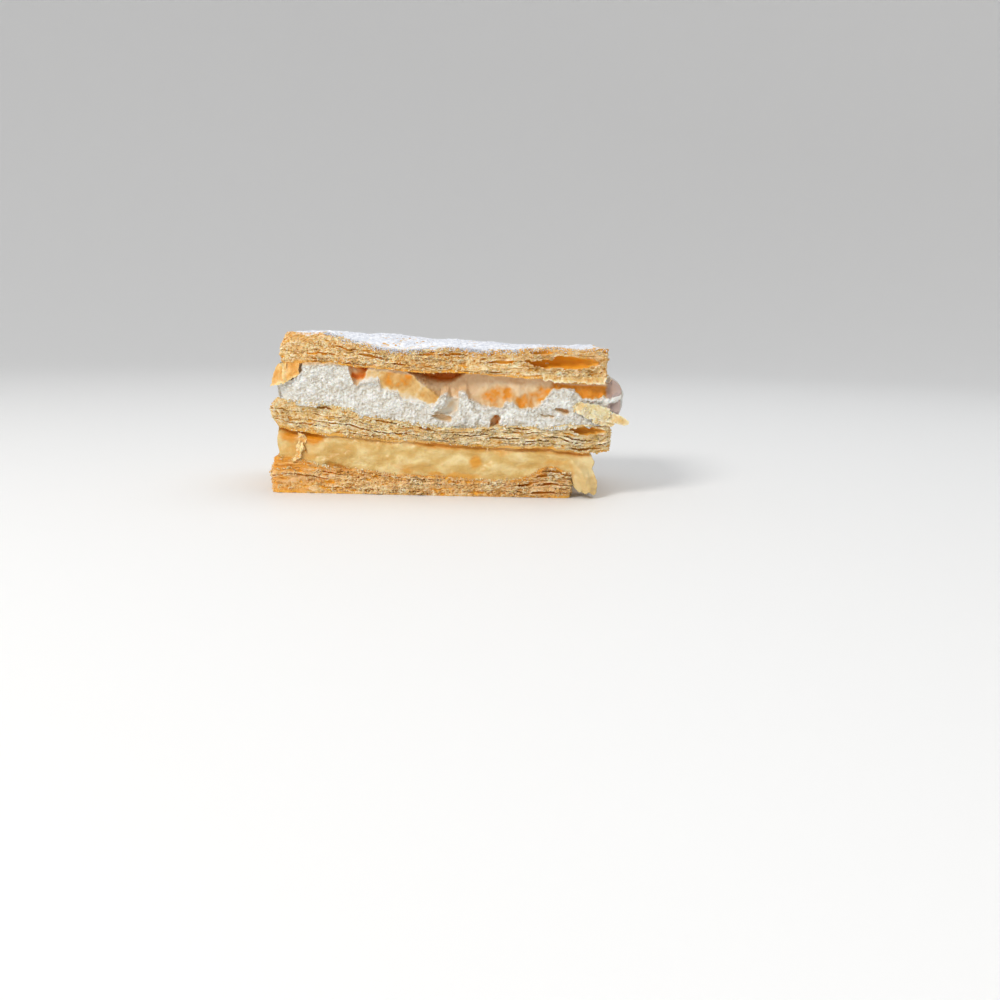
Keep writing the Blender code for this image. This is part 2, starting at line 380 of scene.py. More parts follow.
class Shader:
    """A material made node by node."""

    def __init__(self, name, roughness, **settings):
        self.material = bpy.data.materials.new(name)
        self.material.use_nodes = True
        self.nodes = self.material.node_tree.nodes
        self.links = self.material.node_tree.links
        self.surface = self.nodes["Principled BSDF"]
        self.surface.inputs["Roughness"].default_value = roughness
        for socket, value in settings.items():
            self.surface.inputs[socket.replace("_", " ")].default_value = value
        self.place = self.nodes.new("ShaderNodeTexCoord").outputs["Object"]

    def put(self, value, socket):
        """Links a socket, or sets a number or a colour."""
        if isinstance(value, bpy.types.NodeSocket):
            self.links.new(value, socket)
        else:
            socket.default_value = (*value, 1.0) if isinstance(value, tuple) else value

    def noise(self, scale, detail=4.0, stretch=(1, 1, 1), distortion=0.0):
        turn = self.nodes.new("ShaderNodeMapping")
        turn.inputs["Scale"].default_value = stretch
        texture = self.nodes.new("ShaderNodeTexNoise")
        texture.inputs["Scale"].default_value = scale
        texture.inputs["Detail"].default_value = detail
        texture.inputs["Distortion"].default_value = distortion
        self.links.new(self.place, turn.inputs["Vector"])
        self.links.new(turn.outputs["Vector"], texture.inputs["Vector"])
        return texture.outputs["Fac"]

    def mottle(self, scale, strength):
        """Fine noise above and below zero."""
        return self.sum(self.sum(self.noise(scale, 3), 0.5, "SUBTRACT"), strength, "MULTIPLY")

    def noted(self, name):
        attribute = self.nodes.new("ShaderNodeAttribute")
        attribute.attribute_name = name
        return attribute.outputs["Fac"]

    def ramp(self, value, *stops):
        """Colours, or greys, read along a value from 0 to 1."""
        ramp = self.nodes.new("ShaderNodeValToRGB")
        elements = ramp.color_ramp.elements
        while len(elements) < len(stops):
            elements.new(0.5)
        for element, (place, colour) in zip(elements, stops):
            element.position = place
            element.color = (*colour, 1.0) if isinstance(colour, tuple) else (colour,) * 3 + (1.0,)
        self.links.new(value, ramp.inputs["Fac"])
        return ramp.outputs["Color"]

    def mix(self, share, first, second, how="MIX"):
        node = self.nodes.new("ShaderNodeMix")
        node.data_type = "RGBA"
        node.blend_type = how
        for number, value in ((0, share), (6, first), (7, second)):
            self.put(value, node.inputs[number])
        return node.outputs[2]

    def sum(self, first, second, how="ADD"):
        node = self.nodes.new("ShaderNodeMath")
        node.operation = how
        for socket, value in zip(node.inputs, (first, second)):
            self.put(value, socket)
        return node.outputs[0]

    def colour(self, value):
        self.put(value, self.surface.inputs["Base Color"])

    def bump(self, value, distance, strength=1.0):
        node = self.nodes.new("ShaderNodeBump")
        node.inputs["Strength"].default_value = strength
        node.inputs["Distance"].default_value = distance
        self.links.new(value, node.inputs["Height"])
        self.links.new(node.outputs["Normal"], self.surface.inputs["Normal"])


# Each pastry's colour in its pits, on its faces, at its torn tips, where it is toasted, in the seams between
# its leaves, and deep in its gaps. Its pits and tips are partly its own colour, partly painted shade and
# painted highlight; its seams and gaps are amber painted shade.
AMBER_GAPS = (240, 176, 62), (226, 146, 12)
PASTRIES = {
    "golden pastry": ((188, 112, 14), (230, 199, 140), (255, 244, 212), (220, 160, 70), *AMBER_GAPS),
    "pale pastry": (
        (170, 106, 22), (229, 202, 147), (255, 248, 222), (216, 168, 86), (226, 168, 70), (206, 134, 20),
    ),
    "toasted pastry": ((162, 90, 10), (228, 191, 128), (255, 238, 200), (222, 154, 60), *AMBER_GAPS),
    "orange skin": ((218, 148, 64), (236, 182, 102), (250, 222, 164), (226, 150, 58), *AMBER_GAPS),
    "soft pale pastry": ((216, 180, 124), (235, 214, 166), (252, 244, 218), (226, 184, 112), *AMBER_GAPS),
}


def pastry_material(name):
    """Baked pastry: paler at torn tips and golden in its pits, partly its own colour and partly painted
    highlight and painted shade; browner where toasted; amber painted shade deep in its gaps; and white where
    it is dusted with sugar."""
    pit, face, tip, toasted, seam, deep = (srgb(*colour) for colour in PASTRIES[name])
    shader = Shader(
        name, 0.6, Specular_IOR_Level=0.3,
        Subsurface_Weight=0.3, Subsurface_Scale=0.0008, Subsurface_Radius=(1.0, 0.5, 0.2),
    )
    mottle = shader.mottle(900, 0.9)
    # Tone: darker in the pits and paler at the tips, partly the pastry's own colour, partly painted shade and
    # painted highlight.
    faces = shader.ramp(shader.sum(shader.noted("tone"), mottle), (0.12, pit), (0.45, face), (0.95, tip))
    patches = shader.ramp(shader.noise(150, 4), (0.45, 0.0), (0.7, 0.35))
    faces = shader.mix(patches, faces, toasted)
    faces = shader.mix(shader.noted("toast"), faces, toasted)
    # Painted shade in the seams and gaps, amber going deeper inside, where inner says.
    gaps = shader.ramp(shader.noted("inner"), (0.3, seam), (0.8, deep))
    baked = shader.mix(shader.ramp(shader.noted("inner"), (0.0, 0.0), (0.3, 1.0)), faces, gaps)
    dusting = shader.sum(shader.noted("dust"), shader.noise(1500, 3), "MULTIPLY")
    powder = shader.ramp(dusting, (0.2, 0.0), (0.5, 0.9))
    shader.colour(shader.mix(powder, baked, srgb(240, 242, 246)))
    shader.bump(shader.noise(3000, 3), 0.00012, 0.6)
    return shader.material


def cream_material():
    """Whipped cream, white where it is torn, with painted shade in the pits of its grain and a painted
    highlight on its tips; painted shade in its hollows, beige going to dark amber; an orange skin in places;
    and painted mauve shade on the lobes at the right."""
    shader = Shader(
        "whipped cream", 0.55, Specular_IOR_Level=0.3,
        Subsurface_Weight=0.25, Subsurface_Scale=0.0012, Subsurface_Radius=(1.0, 0.7, 0.45),
    )
    white = shader.ramp(shader.noise(420, 3), (0.35, srgb(222, 224, 220)), (0.7, srgb(217, 214, 204)))
    # Painted shade in the pits of the torn grain and a painted highlight on its tips, where tone says.
    pitted = shader.ramp(
        shader.noted("tone"),
        (0.0, srgb(190, 177, 156)), (0.45, srgb(221, 219, 211)), (1.0, srgb(252, 253, 250)),
    )
    white = shader.mix(0.8, white, pitted)
    mottle = shader.mottle(700, 0.5)
    tan = shader.ramp(
        shader.sum(shader.noted("skin"), mottle),
        (0.1, srgb(230, 212, 180)), (0.4, srgb(224, 188, 126)),
        (0.7, srgb(208, 158, 86)), (1.0, srgb(222, 142, 36)),
    )
    outside = shader.mix(shader.ramp(shader.noted("skin"), (0.05, 0.0), (0.3, 1.0)), white, tan)
    # Painted shade in the hollows and dents, beige going to dark amber where it is deepest, where inner says.
    hollow = shader.ramp(
        shader.noted("inner"),
        (0.1, srgb(228, 210, 180)), (0.4, srgb(222, 186, 140)),
        (0.75, srgb(212, 128, 44)), (1.0, srgb(192, 88, 12)),
    )
    coloured = shader.mix(shader.ramp(shader.noted("inner"), (0.02, 0.0), (0.25, 1.0)), outside, hollow)
    # Painted mauve shade on the lobes at the right.
    shader.colour(shader.mix(shader.noted("mauve"), coloured, srgb(167, 144, 138)))
    shader.bump(shader.noise(1800, 3), 0.00012, 0.5)
    return shader.material


def custard_material():
    """Set custard: pale yellow, a little glossy, with egg-yellow spots, amber painted shade under the middle
    sheet, and a paler painted highlight on the tongue.
    """
    shader = Shader(
        "custard", 0.38, Specular_IOR_Level=0.45,
        Subsurface_Weight=0.25, Subsurface_Scale=0.0015, Subsurface_Radius=(1.0, 0.6, 0.25),
    )
    smears = shader.ramp(
        shader.noise(150, 4, (1, 1, 1.7), 0.4),
        (0.3, srgb(201, 159, 84)), (0.48, srgb(214, 180, 110)), (0.7, srgb(238, 217, 161)),
    )
    # A paler painted highlight on the tongue, where pale says.
    smears = shader.mix(shader.noted("pale"), smears, srgb(240, 220, 172))
    tint = shader.mix(shader.ramp(shader.noted("yolk"), (0.1, 0.0), (1.0, 1.0)), smears, srgb(224, 158, 52))
    # Amber painted shade under the middle sheet, where inner says.
    shader.colour(shader.mix(shader.noted("inner"), tint, srgb(224, 146, 30)))
    shader.bump(shader.noise(900, 4, (1, 1, 2)), 0.00015, 0.4)
    return shader.material


def sugar_material():
    """Icing sugar: dull white powder, a little blue in its shade."""
    shader = Shader("icing sugar", 0.9, Specular_IOR_Level=0.2)
    shader.colour(shader.ramp(shader.noise(700, 4), (0.32, srgb(206, 211, 222)), (0.64, srgb(244, 245, 249))))
    shader.bump(shader.noise(3000, 3), 0.00012, 0.7)
    return shader.material


# ---------------------------------------------------------------- puff pastry


def crumb(points, leafy, seed):
    """The broken face of pastry, -1 to 1: crumbs, and in places the edges of thin leaves."""
    coarse = 0.25 * billow(points, (1.5 * MM, 1.5 * MM, 1.0 * MM), seed)
    fine = 0.40 * billow(points, (0.8 * MM, 0.8 * MM, 0.6 * MM), seed + 1)
    crumbs = coarse + (fine + 0.4 * rough(points, 0.4 * MM, seed + 2))
    long = 0.48 * crest(points, (7.5 * MM, 7.5 * MM, 0.6 * MM), seed + 3)
    short = 0.26 * crest(points, (2.6 * MM, 2.6 * MM, 0.45 * MM), seed + 4)
    leaves = long + (short + 0.22 * rough(points, 0.45 * MM, seed + 5))
    share = smooth(leafy + 1.1 * rough(points, (9 * MM, 9 * MM, 2.5 * MM), seed + 6))
    return crumbs * (1 - share) + leaves * share


class Sheet:
    """One sheet of puff pastry: crumbly leaves one on another, with gaps between them here and there.

    Along its front cut it is as leafy and as brown as leafy and browning say, and up its edge as brown as
    baking says. Its ends are drawn in by these millimetres: the left one bowed, then slanted, and the right
    one bowed."""

    CELLS = 5  # cells up the face of a leaf
    UNDER = np.array([0.5, 1.4, 3.5, 9.0]) * MM  # how far in the rows across the underside lie
    OVER = np.array([0.5, 1.2, 2.1, 3.2, 4.6, 9.0]) * MM  # and those across the top
    INSET = 0.9 * MM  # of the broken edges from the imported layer's sides
    CORE_INSET = 5.0 * MM  # of the core from the broken edges, which reach further in than its sides
    SEAM = ((0.25, 1.0), (0.75, 1.0))  # rows inside a seam: share of its height, share of its depth
    BLISTER = ((0.05, 0.45), (0.18, 0.85), (0.4, 1.0), (0.6, 1.0), (0.82, 0.85), (0.95, 0.45))
    BLISTER_HEIGHT = 2.0  # a gap is a blister when it is taller than this, in millimetres

    def __init__(self, node, slot, material, seed, leaves, gaps, leafy, browning, baking, ends, dusted=0.0):
        self.node, self.slot, self.material, self.seed, self.dusted = node, slot, material, seed, dusted
        self.leaves, self.leafy, self.browning, self.baking, self.ends = leaves, leafy, browning, baking, ends
        self.heights = Heights(node)
        inset = np.array((self.INSET, self.INSET, 0))
        self.low, self.high = self.heights.low + inset, self.heights.high - inset
        self.outline = Outline(self.low, self.high)
        self.thick = np.nanmean(self.heights.over - self.heights.under)
        self.blisters = {seam for seam, *_, height, _ in gaps if height > self.BLISTER_HEIGHT}
        self.part_leaves(gaps)

    def noisy(self, places, size, seed):
        return rough(places, np.asarray(size) * MM, self.seed + seed)

    def place(self, x, y, level):
        low = self.heights.bottom(x, y)
        return low + (self.heights.top(x, y) - low) * level

    def part_leaves(self, gaps):
        """Settles the levels of each seam's two sides all round the sheet, and how deep it goes."""
        line = self.outline
        flat = stacked(line.x, line.y, 0)
        seams = range(self.leaves - 1)
        middle = np.array([(k + 1 + 0.3 * self.noisy(flat, (17, 17, 1), 3 * k)) / self.leaves for k in seams])
        apart = np.array([self.noisy(flat, (18, 18, 1), 60 + k) for k in seams])
        apart += np.array([0.35 * self.noisy(flat, (2.2, 2.2, 1), 80 + k) for k in seams])
        apart = np.clip(apart - 0.06, 0, 0.6)
        parted = apart * 0.4 * MM / self.thick
        self.lower, self.upper = middle - parted, middle + parted
        self.depth = apart * 1.1 * MM
        for k in seams[1:]:
            self.lower[k] = np.maximum(self.lower[k], self.upper[k - 1] + 0.01)
            self.upper[k] = np.maximum(self.upper[k], self.lower[k])
        for k, at, half, level, gap, deep in gaps:
            self.open_gap(k, line.front_place(LEFT + at * MM), half * MM, level, gap * MM, deep * MM)

    def open_gap(self, k, centre, half, level, gap, deep):
        """Pushes the leaves apart at seam k: a gap like a lens, with the leaves round it bending away."""
        t = self.outline.away(centre) / half
        lens = np.clip(1 - t**2, 0, 1) ** 0.6
        middle = (self.lower[k] + self.upper[k]) / 2
        goal = middle + (level - middle) * smooth((1.6 - t) / 0.8)
        apart = np.maximum((self.upper[k] - self.lower[k]) / 2, gap / self.thick / 2 * lens)
        goal = np.clip(goal, apart + 0.03, 0.97 - apart)
        under = (goal - apart) / self.lower[k]
        over = (1 - goal - apart) / (1 - self.upper[k])
        for side in (self.lower, self.upper):
            side[:k] *= under
            side[k + 1:] = 1 - (1 - side[k + 1:]) * over
        self.lower[k], self.upper[k] = goal - apart, goal + apart
        self.depth[k] = np.maximum(self.depth[k], deep * lens**0.6)

    def rows(self):
        """Of each row round the section: its level, its depth, its share of the way into a gap, its nearness
        to a gap's rim, the thickness of its leaf, and whether it lies on the broken edge. The rows run out
        along the underside, up the edge leaf by leaf, and in across the top."""
        line = self.outline
        flat = stacked(line.x, line.y, 0)
        zero = np.zeros(len(line))
        shut = [zero, *self.depth, zero]
        face = []
        for leaf in range(self.leaves):
            start = self.upper[leaf - 1] if leaf else zero
            end = self.lower[leaf] if leaf < self.leaves - 1 else zero + 1
            own = 40 + 7 * leaf
            parted = smooth(np.maximum(shut[leaf], shut[leaf + 1]) / (0.8 * MM))
            body = np.clip((end - start) * self.thick / (0.9 * MM), 0.25, 1)
            set_back = 0.3 * self.noisy(flat, (9, 9, 1), own) + 0.3 * self.noisy(flat, (3, 3, 1), own + 1)
            set_back *= (0.3 + parted) * body * np.where(line.ends, 0.6, 1)
            for share in np.arange(self.CELLS + 1) / self.CELLS:
                rim = shut[leaf] * (1 - share) ** 3 + shut[leaf + 1] * share**3
                level = start + (end - start) * share
                face.append((level, set_back * MM, zero, smooth(rim / (0.7 * MM)), body))
            if leaf < self.leaves - 1:
                bottom, top, deep = self.lower[leaf], self.upper[leaf], self.depth[leaf]
                for share, inside in self.BLISTER if leaf in self.blisters else self.SEAM:
                    level = bottom + (top - bottom) * share
                    # Painted shade: the deeper a gap, the deeper the amber of its inside.
                    shown = 0.3 + 0.5 * smooth((deep - 1.5 * MM) / (1.2 * MM))
                    within_gap = inside * shown * smooth(deep / (0.4 * MM))
                    face.append((level, deep * inside + set_back * MM, within_gap, zero, body))
        under = [(zero, zero + depth, zero, zero, zero) for depth in self.UNDER[::-1]]
        over = [(zero + 1, zero + depth, zero, zero, zero) for depth in self.OVER]
        level, depth, inside, rim, body = (np.array(column) for column in zip(*under, *face, *over))
        on_face = np.zeros((len(level), 1))
        on_face[len(under):-len(over)] = 1
        return level, depth, inside, rim, body, on_face

    def edges(self):
        """The sheet's four broken edges, and the rim of its top and underside."""
        line = self.outline
        level, depth, inside, rim, body, on_face = self.rows()
        x, y = (np.broadcast_to(axis, level.shape) for axis in (line.x, line.y))
        where = stacked(x, y, self.place(x, y, level))
        along = (line.x - LEFT) / MM
        leafy = np.where(line.front, through(self.leafy, along), 0.1)
        relief = crumb(where, np.where(line.ends, 1.0, leafy), self.seed + 100)
        pits = np.clip(-self.noisy(where, (2.2, 2.2, 0.8), 110) - 0.4, 0, 1) * 2.2
        patchy = np.clip(0.6 + 0.6 * self.noisy(where, (12, 12, 9), 111), 0, 1)
        glazed = smooth((0.1 - level) / 0.06) * patchy * line.front
        outward = (0.52 * relief - 0.5 * pits + 0.3 * rim) * body + 0.12 * relief * (1 - on_face)
        outward = outward * np.where(line.ends, 0.6, 1.0) * (1 - 0.6 * inside) * (1 - 0.6 * glazed)
        swell = 0.3 * self.noisy(where, (6, 6, 2.5), 112) * on_face
        worn = smooth(1 - line.from_corner / (2.2 * MM))
        depth = depth + (0.6 * worn - (outward + swell) * (1 - 0.5 * worn)) * MM
        left, slant, right = self.ends
        bowed = (2 * level - 1) ** 2
        drawn_in = np.where(line.side < 0, left * bowed + slant * level**3, right * bowed)
        x, y = line.inward(depth + drawn_in * MM, depth)
        jag = 0.3 * self.noisy(where, (2.4, 2.4, 4), 120) + 0.2 * self.noisy(where, (0.9, 0.9, 2), 121)
        z = self.place(x, y, level) + jag * MM * np.clip(1 - depth / (2.5 * MM), 0, 1) * (1 - 0.5 * worn)
        z[0] += 0.5 * MM
        z[-1] -= 0.5 * MM
        z = np.maximum(z, ABOVE_BASE)
        toast = np.where(line.front, through(self.browning, along), 0.3) + through(self.baking, level)
        toast = toast + 0.4 * self.noisy(where, (7, 7, 2.0), 130)
        toast = toast + 0.25 * self.noisy(where, (2.2, 2.2, 1), 131)
        dust = smooth((level - 0.9) / 0.12 + 0.9 * self.noisy(where, (1.6, 1.6, 0.9), 135))
        dust = dust * smooth(level * 20 - 17) * self.dusted
        settled = smooth(along / 12) * (1 - 0.6 * smooth(along / 30 - 2.4))
        dust = dust * np.where(line.front, settled, 0.6)
        surface = np.stack([x, y, z], axis=-1)
        # Tone paints shade in the pits and highlight on the crests and gap rims, partly the pastry's own
        # colour; inner paints amber shade in the gaps and pits, and colours the glazed foot.
        mesh = Ring(*level.shape[::-1]).placed(
            surface, toast=toast, tone=0.54 + 0.65 * relief - 0.6 * pits + 0.35 * rim, dust=dust,
            inner=inside + (0.4 * pits + 0.22 * glazed) * on_face,
        )
        name = self.node.replace("sheet", "")
        parts = surface, line.facing
        bits = self.material, self.node, self.slot
        piece(self.node + "_leaves", mesh, *bits, sharp=55)
        flaky = (rim + 0.04) * on_face * np.where(line.front, 1.0, 0.8)
        crumbs(name + "flakes", *parts, flaky, 900, (0.35, 1.2), flake_shape, *bits, self.seed + 150)
        crumbly = on_face * (inside < 0.1) * (relief > 0) * (1 - 0.7 * smooth(leafy))
        crumbs(name + "crumbs", *parts, crumbly, 3400, (0.08, 0.26), chip_shape, *bits, self.seed + 160)

    def baked_relief(self, x, y):
        """The fine ups and downs of the sheet's baked top."""
        flat = stacked(x, y, 0)
        bumps = 0.35 * self.noisy(flat, (6, 6, 1), 145) + 0.18 * self.noisy(flat, (2.2, 2.2, 1), 146)
        return bumps * MM * np.clip((y - self.low[1]) / (3 * MM), 0, 1)

    def core(self):
        """The top and underside of the sheet, within the rim of its leaves."""
        mesh = block(160, 70, 1)
        a, b, c = points_of(mesh).T
        inset = self.CORE_INSET
        x = self.low[0] + inset + (self.high[0] - self.low[0] - 2 * inset) * a
        y = self.low[1] + inset + (self.high[1] - self.low[1] - 2 * inset) * b
        flat = stacked(x, y, 0)
        below = 0.2 * MM * self.noisy(flat, (3, 3, 1), 147)
        z = self.place(x, y, c) + (c - 0.5) * 0.1 * MM + np.where(c > 0.5, self.baked_relief(x, y), below)
        z = np.maximum(z, ABOVE_BASE)
        move_points(mesh, stacked(x, y, z))
        dust = self.dusted * np.where(c > 0.5, 0.5 + 0.6 * self.noisy(flat, 1.3, 143), 0)
        toast = 0.6 + 0.4 * self.noisy(flat, 7, 142)
        note(mesh, tone=0.4 + 0.3 * self.noisy(flat, 2, 141), inner=0.0, toast=toast, dust=dust)
        piece(self.node + "_core", mended(mesh), self.material, self.node, self.slot, sharp=50)


# Gaps between leaves at the front cut: the seam they open, counted from 0 at the bottom, then distance along
# the slice, half length, level as a share of the sheet's thickness, height and depth, in millimetres.
TOP_GAPS = [
    (4, 97.0, 12.8, 0.60, 4.0, 3.0),
    (4, 77.0, 5.5, 0.56, 1.2, 1.0),
    (2, 17.0, 5.0, 0.33, 1.1, 1.0),
    (5, 25.5, 4.0, 0.62, 1.2, 1.0),
    (3, 34.5, 5.5, 0.50, 1.5, 1.3),
    (2, 42.0, 5.0, 0.30, 1.1, 1.0),
    (6, 51.5, 3.5, 0.74, 1.4, 1.0),
    (1, 54.0, 7.0, 0.22, 0.7, 0.8),
    (6, 60.5, 5.0, 0.72, 1.4, 1.0),
    (1, 75.0, 4.0, 0.16, 0.9, 1.0),
    (7, 90.0, 4.0, 0.84, 1.6, 1.0),
]
MIDDLE_GAPS = [
    (6, 16.8, 3.0, 0.86, 1.1, 1.3),
    (2, 34.0, 20.0, 0.42, 0.7, 1.3),
    (5, 52.4, 3.2, 0.80, 1.9, 1.5),
    (6, 38.0, 5.5, 0.88, 0.9, 1.0),
    (6, 72.0, 5.0, 0.84, 0.6, 0.8),
    (5, 84.0, 7.0, 0.70, 0.8, 1.0),
    (6, 82.5, 5.0, 0.90, 1.0, 1.1),
    (3, 98.0, 8.0, 0.50, 0.8, 1.4),
    (2, 90.0, 6.0, 0.35, 0.8, 1.3),
    (4, 104.0, 7.0, 0.62, 1.0, 1.5),
    (2, 112.0, 4.5, 0.38, 0.9, 1.3),
    (4, 66.0, 9.0, 0.60, 0.8, 1.5),
    (1, 58.0, 9.0, 0.20, 0.7, 1.5),
    (3, 78.0, 7.0, 0.46, 0.8, 1.5),
    (1, 106.0, 6.0, 0.20, 1.5, 1.8),
    (6, 106.5, 6.4, 0.79, 2.5, 2.4),
]
BOTTOM_GAPS = [
    (5, 93.0, 5.5, 0.76, 1.1, 1.6),
    (3, 95.0, 6.5, 0.45, 1.2, 2.0),
    (3, 12.0, 8.0, 0.55, 0.7, 0.7),
    (5, 20.0, 4.0, 0.80, 0.8, 0.8),
    (1, 45.0, 8.0, 0.18, 0.7, 0.8),
    (1, 92.0, 6.0, 0.20, 1.0, 1.8),
    (2, 98.5, 3.2, 0.36, 0.9, 1.3),
    (6, 96.0, 5.0, 0.88, 0.9, 1.3),
    (2, 83.0, 3.5, 0.34, 0.8, 1.3),
    (4, 85.6, 3.0, 0.62, 2.0, 2.4),
]


# ---------------------------------------------------------------- cream and custard


def within(s, z, path):
    """How far inside a line through (distance along, height, half width) points each place is."""
    inside = np.full(s.shape, -np.inf)
    for (s0, z0, half0), (s1, z1, half1) in zip(path, path[1:]):
        run, rise = s1 - s0, z1 - z0
        share = np.clip(((s - s0) * run + (z - z0) * rise) / (run**2 + rise**2), 0, 1)
        away = np.hypot(s - s0 - share * run, z - z0 - share * rise)
        inside = np.maximum(inside, half0 + (half1 - half0) * share - away)
    return inside


def carved(s, z, strokes, soft):
    """The most depth, and the most tint, that some strokes give each place: each (path, depth, tint)."""
    depth, tint = np.zeros(s.shape), np.zeros(s.shape)
    for path, deep, tinted in strokes:
        share = smooth(within(s, z, path) / soft + 0.5)
        depth = np.where(np.abs(deep * share) > np.abs(depth), deep * share, depth)
        tint = np.maximum(tint, tinted * share)
    return depth, tint


def mound(s, z, spots):
    """The strongest of some soft-edged ovals, each (s, z, half width, half height, strength)."""
    total = np.zeros(s.shape)
    for at, height, wide, tall, strength in spots:
        reach = np.sqrt(((s - at) / wide) ** 2 + ((z - height) / tall) ** 2)
        total = np.maximum(total, strength * smooth((1.45 - reach) / 1.0))
    return total


class Filling:
    """A layer of piped filling: a closed band round the slice, torn open at the two cuts, with the ropes'
    round lobes at its two ends. The sheets hide its empty middle."""

    BEHIND = np.array([7.0, 2.5]) * MM  # how much further in the rows across the top and underside lie
    CUT_INSET = 0.3 * MM  # of the outline from the plane of each cut

    def __init__(self, node, material, under, over, lobes, pitch, rows, seed, push=lambda y, z: 0.0):
        self.node, self.material, self.seed, self.pitch = node, material, seed, pitch
        self.under, self.over, self.lobes = under, over, lobes
        low, high = (np.array(corner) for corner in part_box(node))
        low[:2] = low[0] + lobes[0], CUT + self.CUT_INSET
        high[:2] = high[0] - lobes[1], -CUT - self.CUT_INSET
        self.outline = line = Outline(low, high)
        up = np.concatenate([[0, 0], np.linspace(0, 1, rows + 1), [1, 1]])[:, None]
        self.level = up + np.zeros(len(line))
        self.bulge = self.lobe() + np.where(line.side > 0, push(line.y, self.height(line.x, line.y)), 0)
        self.x, self.y = line.inward(-self.bulge, 0.0 * self.level)
        self.z = self.height(self.x, self.y)
        self.where = stacked(self.x, self.y, self.z)
        self.s = (self.x - LEFT) / MM

    def noisy(self, size, seed, flat=False):
        places = self.where * (1, 1, 0) if flat else self.where
        return rough(places, np.asarray(size) * MM, self.seed + seed)

    def height(self, x, y):
        low, high = self.under(x, y), self.over(x, y)
        return low + (high - low) * self.level

    def lobe(self):
        """How far the ropes' ends stand out past the outline."""
        line = self.outline
        turn = (line.y - line.y.min()) / self.pitch + 0.35
        wander = 0.12 * rough(stacked(line.x * 9, line.y, 0), self.pitch * 1.3, self.seed + 40)
        across = 2 * ((turn + wander) % 1.0) - 1
        upward = np.abs(2 * self.level - 1)
        out = np.sqrt(1 - 0.8 * across**2) * np.clip(1 - upward**3.4, 0, 1) ** 0.55
        share = 0.86 + 0.22 * rough(stacked(line.side * 9, np.floor(turn + wander), 0), 0.7, self.seed + 41)
        left, right = self.lobes
        return out * share * np.where(line.side < 0, left, right) - 0.6 * left * across**6

    def warped(self, along, up, finely, sizes):
        """The distance along and the height of each point, in millimetres, made wavy by coarse and fine noise
        of these two sizes, so that what is drawn with them gets ragged edges."""
        coarse, fine = sizes
        s = self.s + along * self.noisy(coarse, 20) + finely * self.noisy(fine, 21)
        z = self.z / MM + up * self.noisy(coarse, 22) + finely * self.noisy(fine, 23)
        return s, z

    def build(self, depth, swell, fuzz, sharp, **notes):
        """Makes the layer with its cuts drawn in by depth, in millimetres, and the lobes at its ends swollen
        by a share and roughened by fuzz, in millimetres."""
        line = self.outline
        depth = depth * MM
        for rows, edge in (((0, 1), 2), ((-1, -2), -3)):
            depth[list(rows)] = depth[edge] * np.where(line.ends, 0, 1) + self.BEHIND[:, None]
        inset = np.zeros_like(depth)
        inset[[0, -1]], inset[[1, -2]] = self.BEHIND[0], self.BEHIND[1]
        depth = np.where(line.ends, inset, depth)
        fuzz = np.where(line.ends, fuzz, 0) * MM * np.clip(self.bulge / MM, 0, 1)
        x, y = line.inward(inset - self.bulge * swell - fuzz, depth)
        self.surface = np.stack([x, y, self.height(x, y)], axis=-1)
        mesh = Ring(len(line), len(self.level)).placed(self.surface, **notes)
        piece(self.node + "_filling", mesh, self.material, self.node, self.node, sharp=sharp)
        return self


# The cream at the front cut, in millimetres: distance along the slice, then height above the base.
# White torn cream up to TORN, a baked skin from there to SKIN_TOP, and hollows above both.
TORN = (
    (-3, 36.0), (2, 36.7), (8, 38.5), (10.6, 40.5), (11, 44), (25.4, 44), (26.2, 41.8), (28.2, 37),
    (29.2, 36.2), (30.7, 38), (36, 38.6), (36.8, 35), (42.3, 34.7), (43.8, 31.9), (50.8, 31.5),
    (53, 30.4), (55.5, 31), (57, 33.3), (58.3, 34.8), (59.4, 34.6), (60.0, 33.2), (62.4, 33.2),
    (62.8, 35.0), (65.4, 35.4), (66.2, 33.5), (67.6, 32.8), (69, 31.8), (70.4, 30.7), (72.5, 30.1),
    (77.4, 30.1), (78.4, 31.5), (80.8, 32.2), (83.1, 30.1), (87.6, 29.7), (90, 31.1), (92.3, 34),
    (94.6, 36.6), (98.4, 36.7), (101, 36.2), (104, 33.8), (109.8, 33.7), (110.9, 34.6), (111.8, 33.8),
    (114, 34.8), (116.7, 36.4), (121, 36.2),
)
SKIN_TOP = (
    (29.2, 20), (29.6, 36.6), (33, 43), (34, 45), (44.4, 45), (45.2, 41.8), (48, 39.9), (50.7, 37.6),
    (53.3, 35.8), (56.3, 33.5), (57.3, 20),
)
# How deep the hollow above the skin is at each distance along.
HOLLOW = (
    (-3, 1.0), (10, 1.5), (24, 1.5), (28.5, 1.7), (31, 1.8), (34, 3), (44, 5), (56, 5), (60, 4.5),
    (66, 4), (72, 3.0), (79, 2.2), (87, 1.8), (93, 1.8), (97, 1.2), (105, 1.2), (112, 2.2), (116, 3.2),
    (120, 2),
)
# Above this line the hollow runs on back between the cream and the sheet over it.
BEHIND = (
    (25, 50), (33, 50), (46, 50), (47.7, 40.2), (52, 38.4), (56, 37.6), (60, 37.8), (62.3, 39.1),
    (65, 41.2), (67, 50),
)
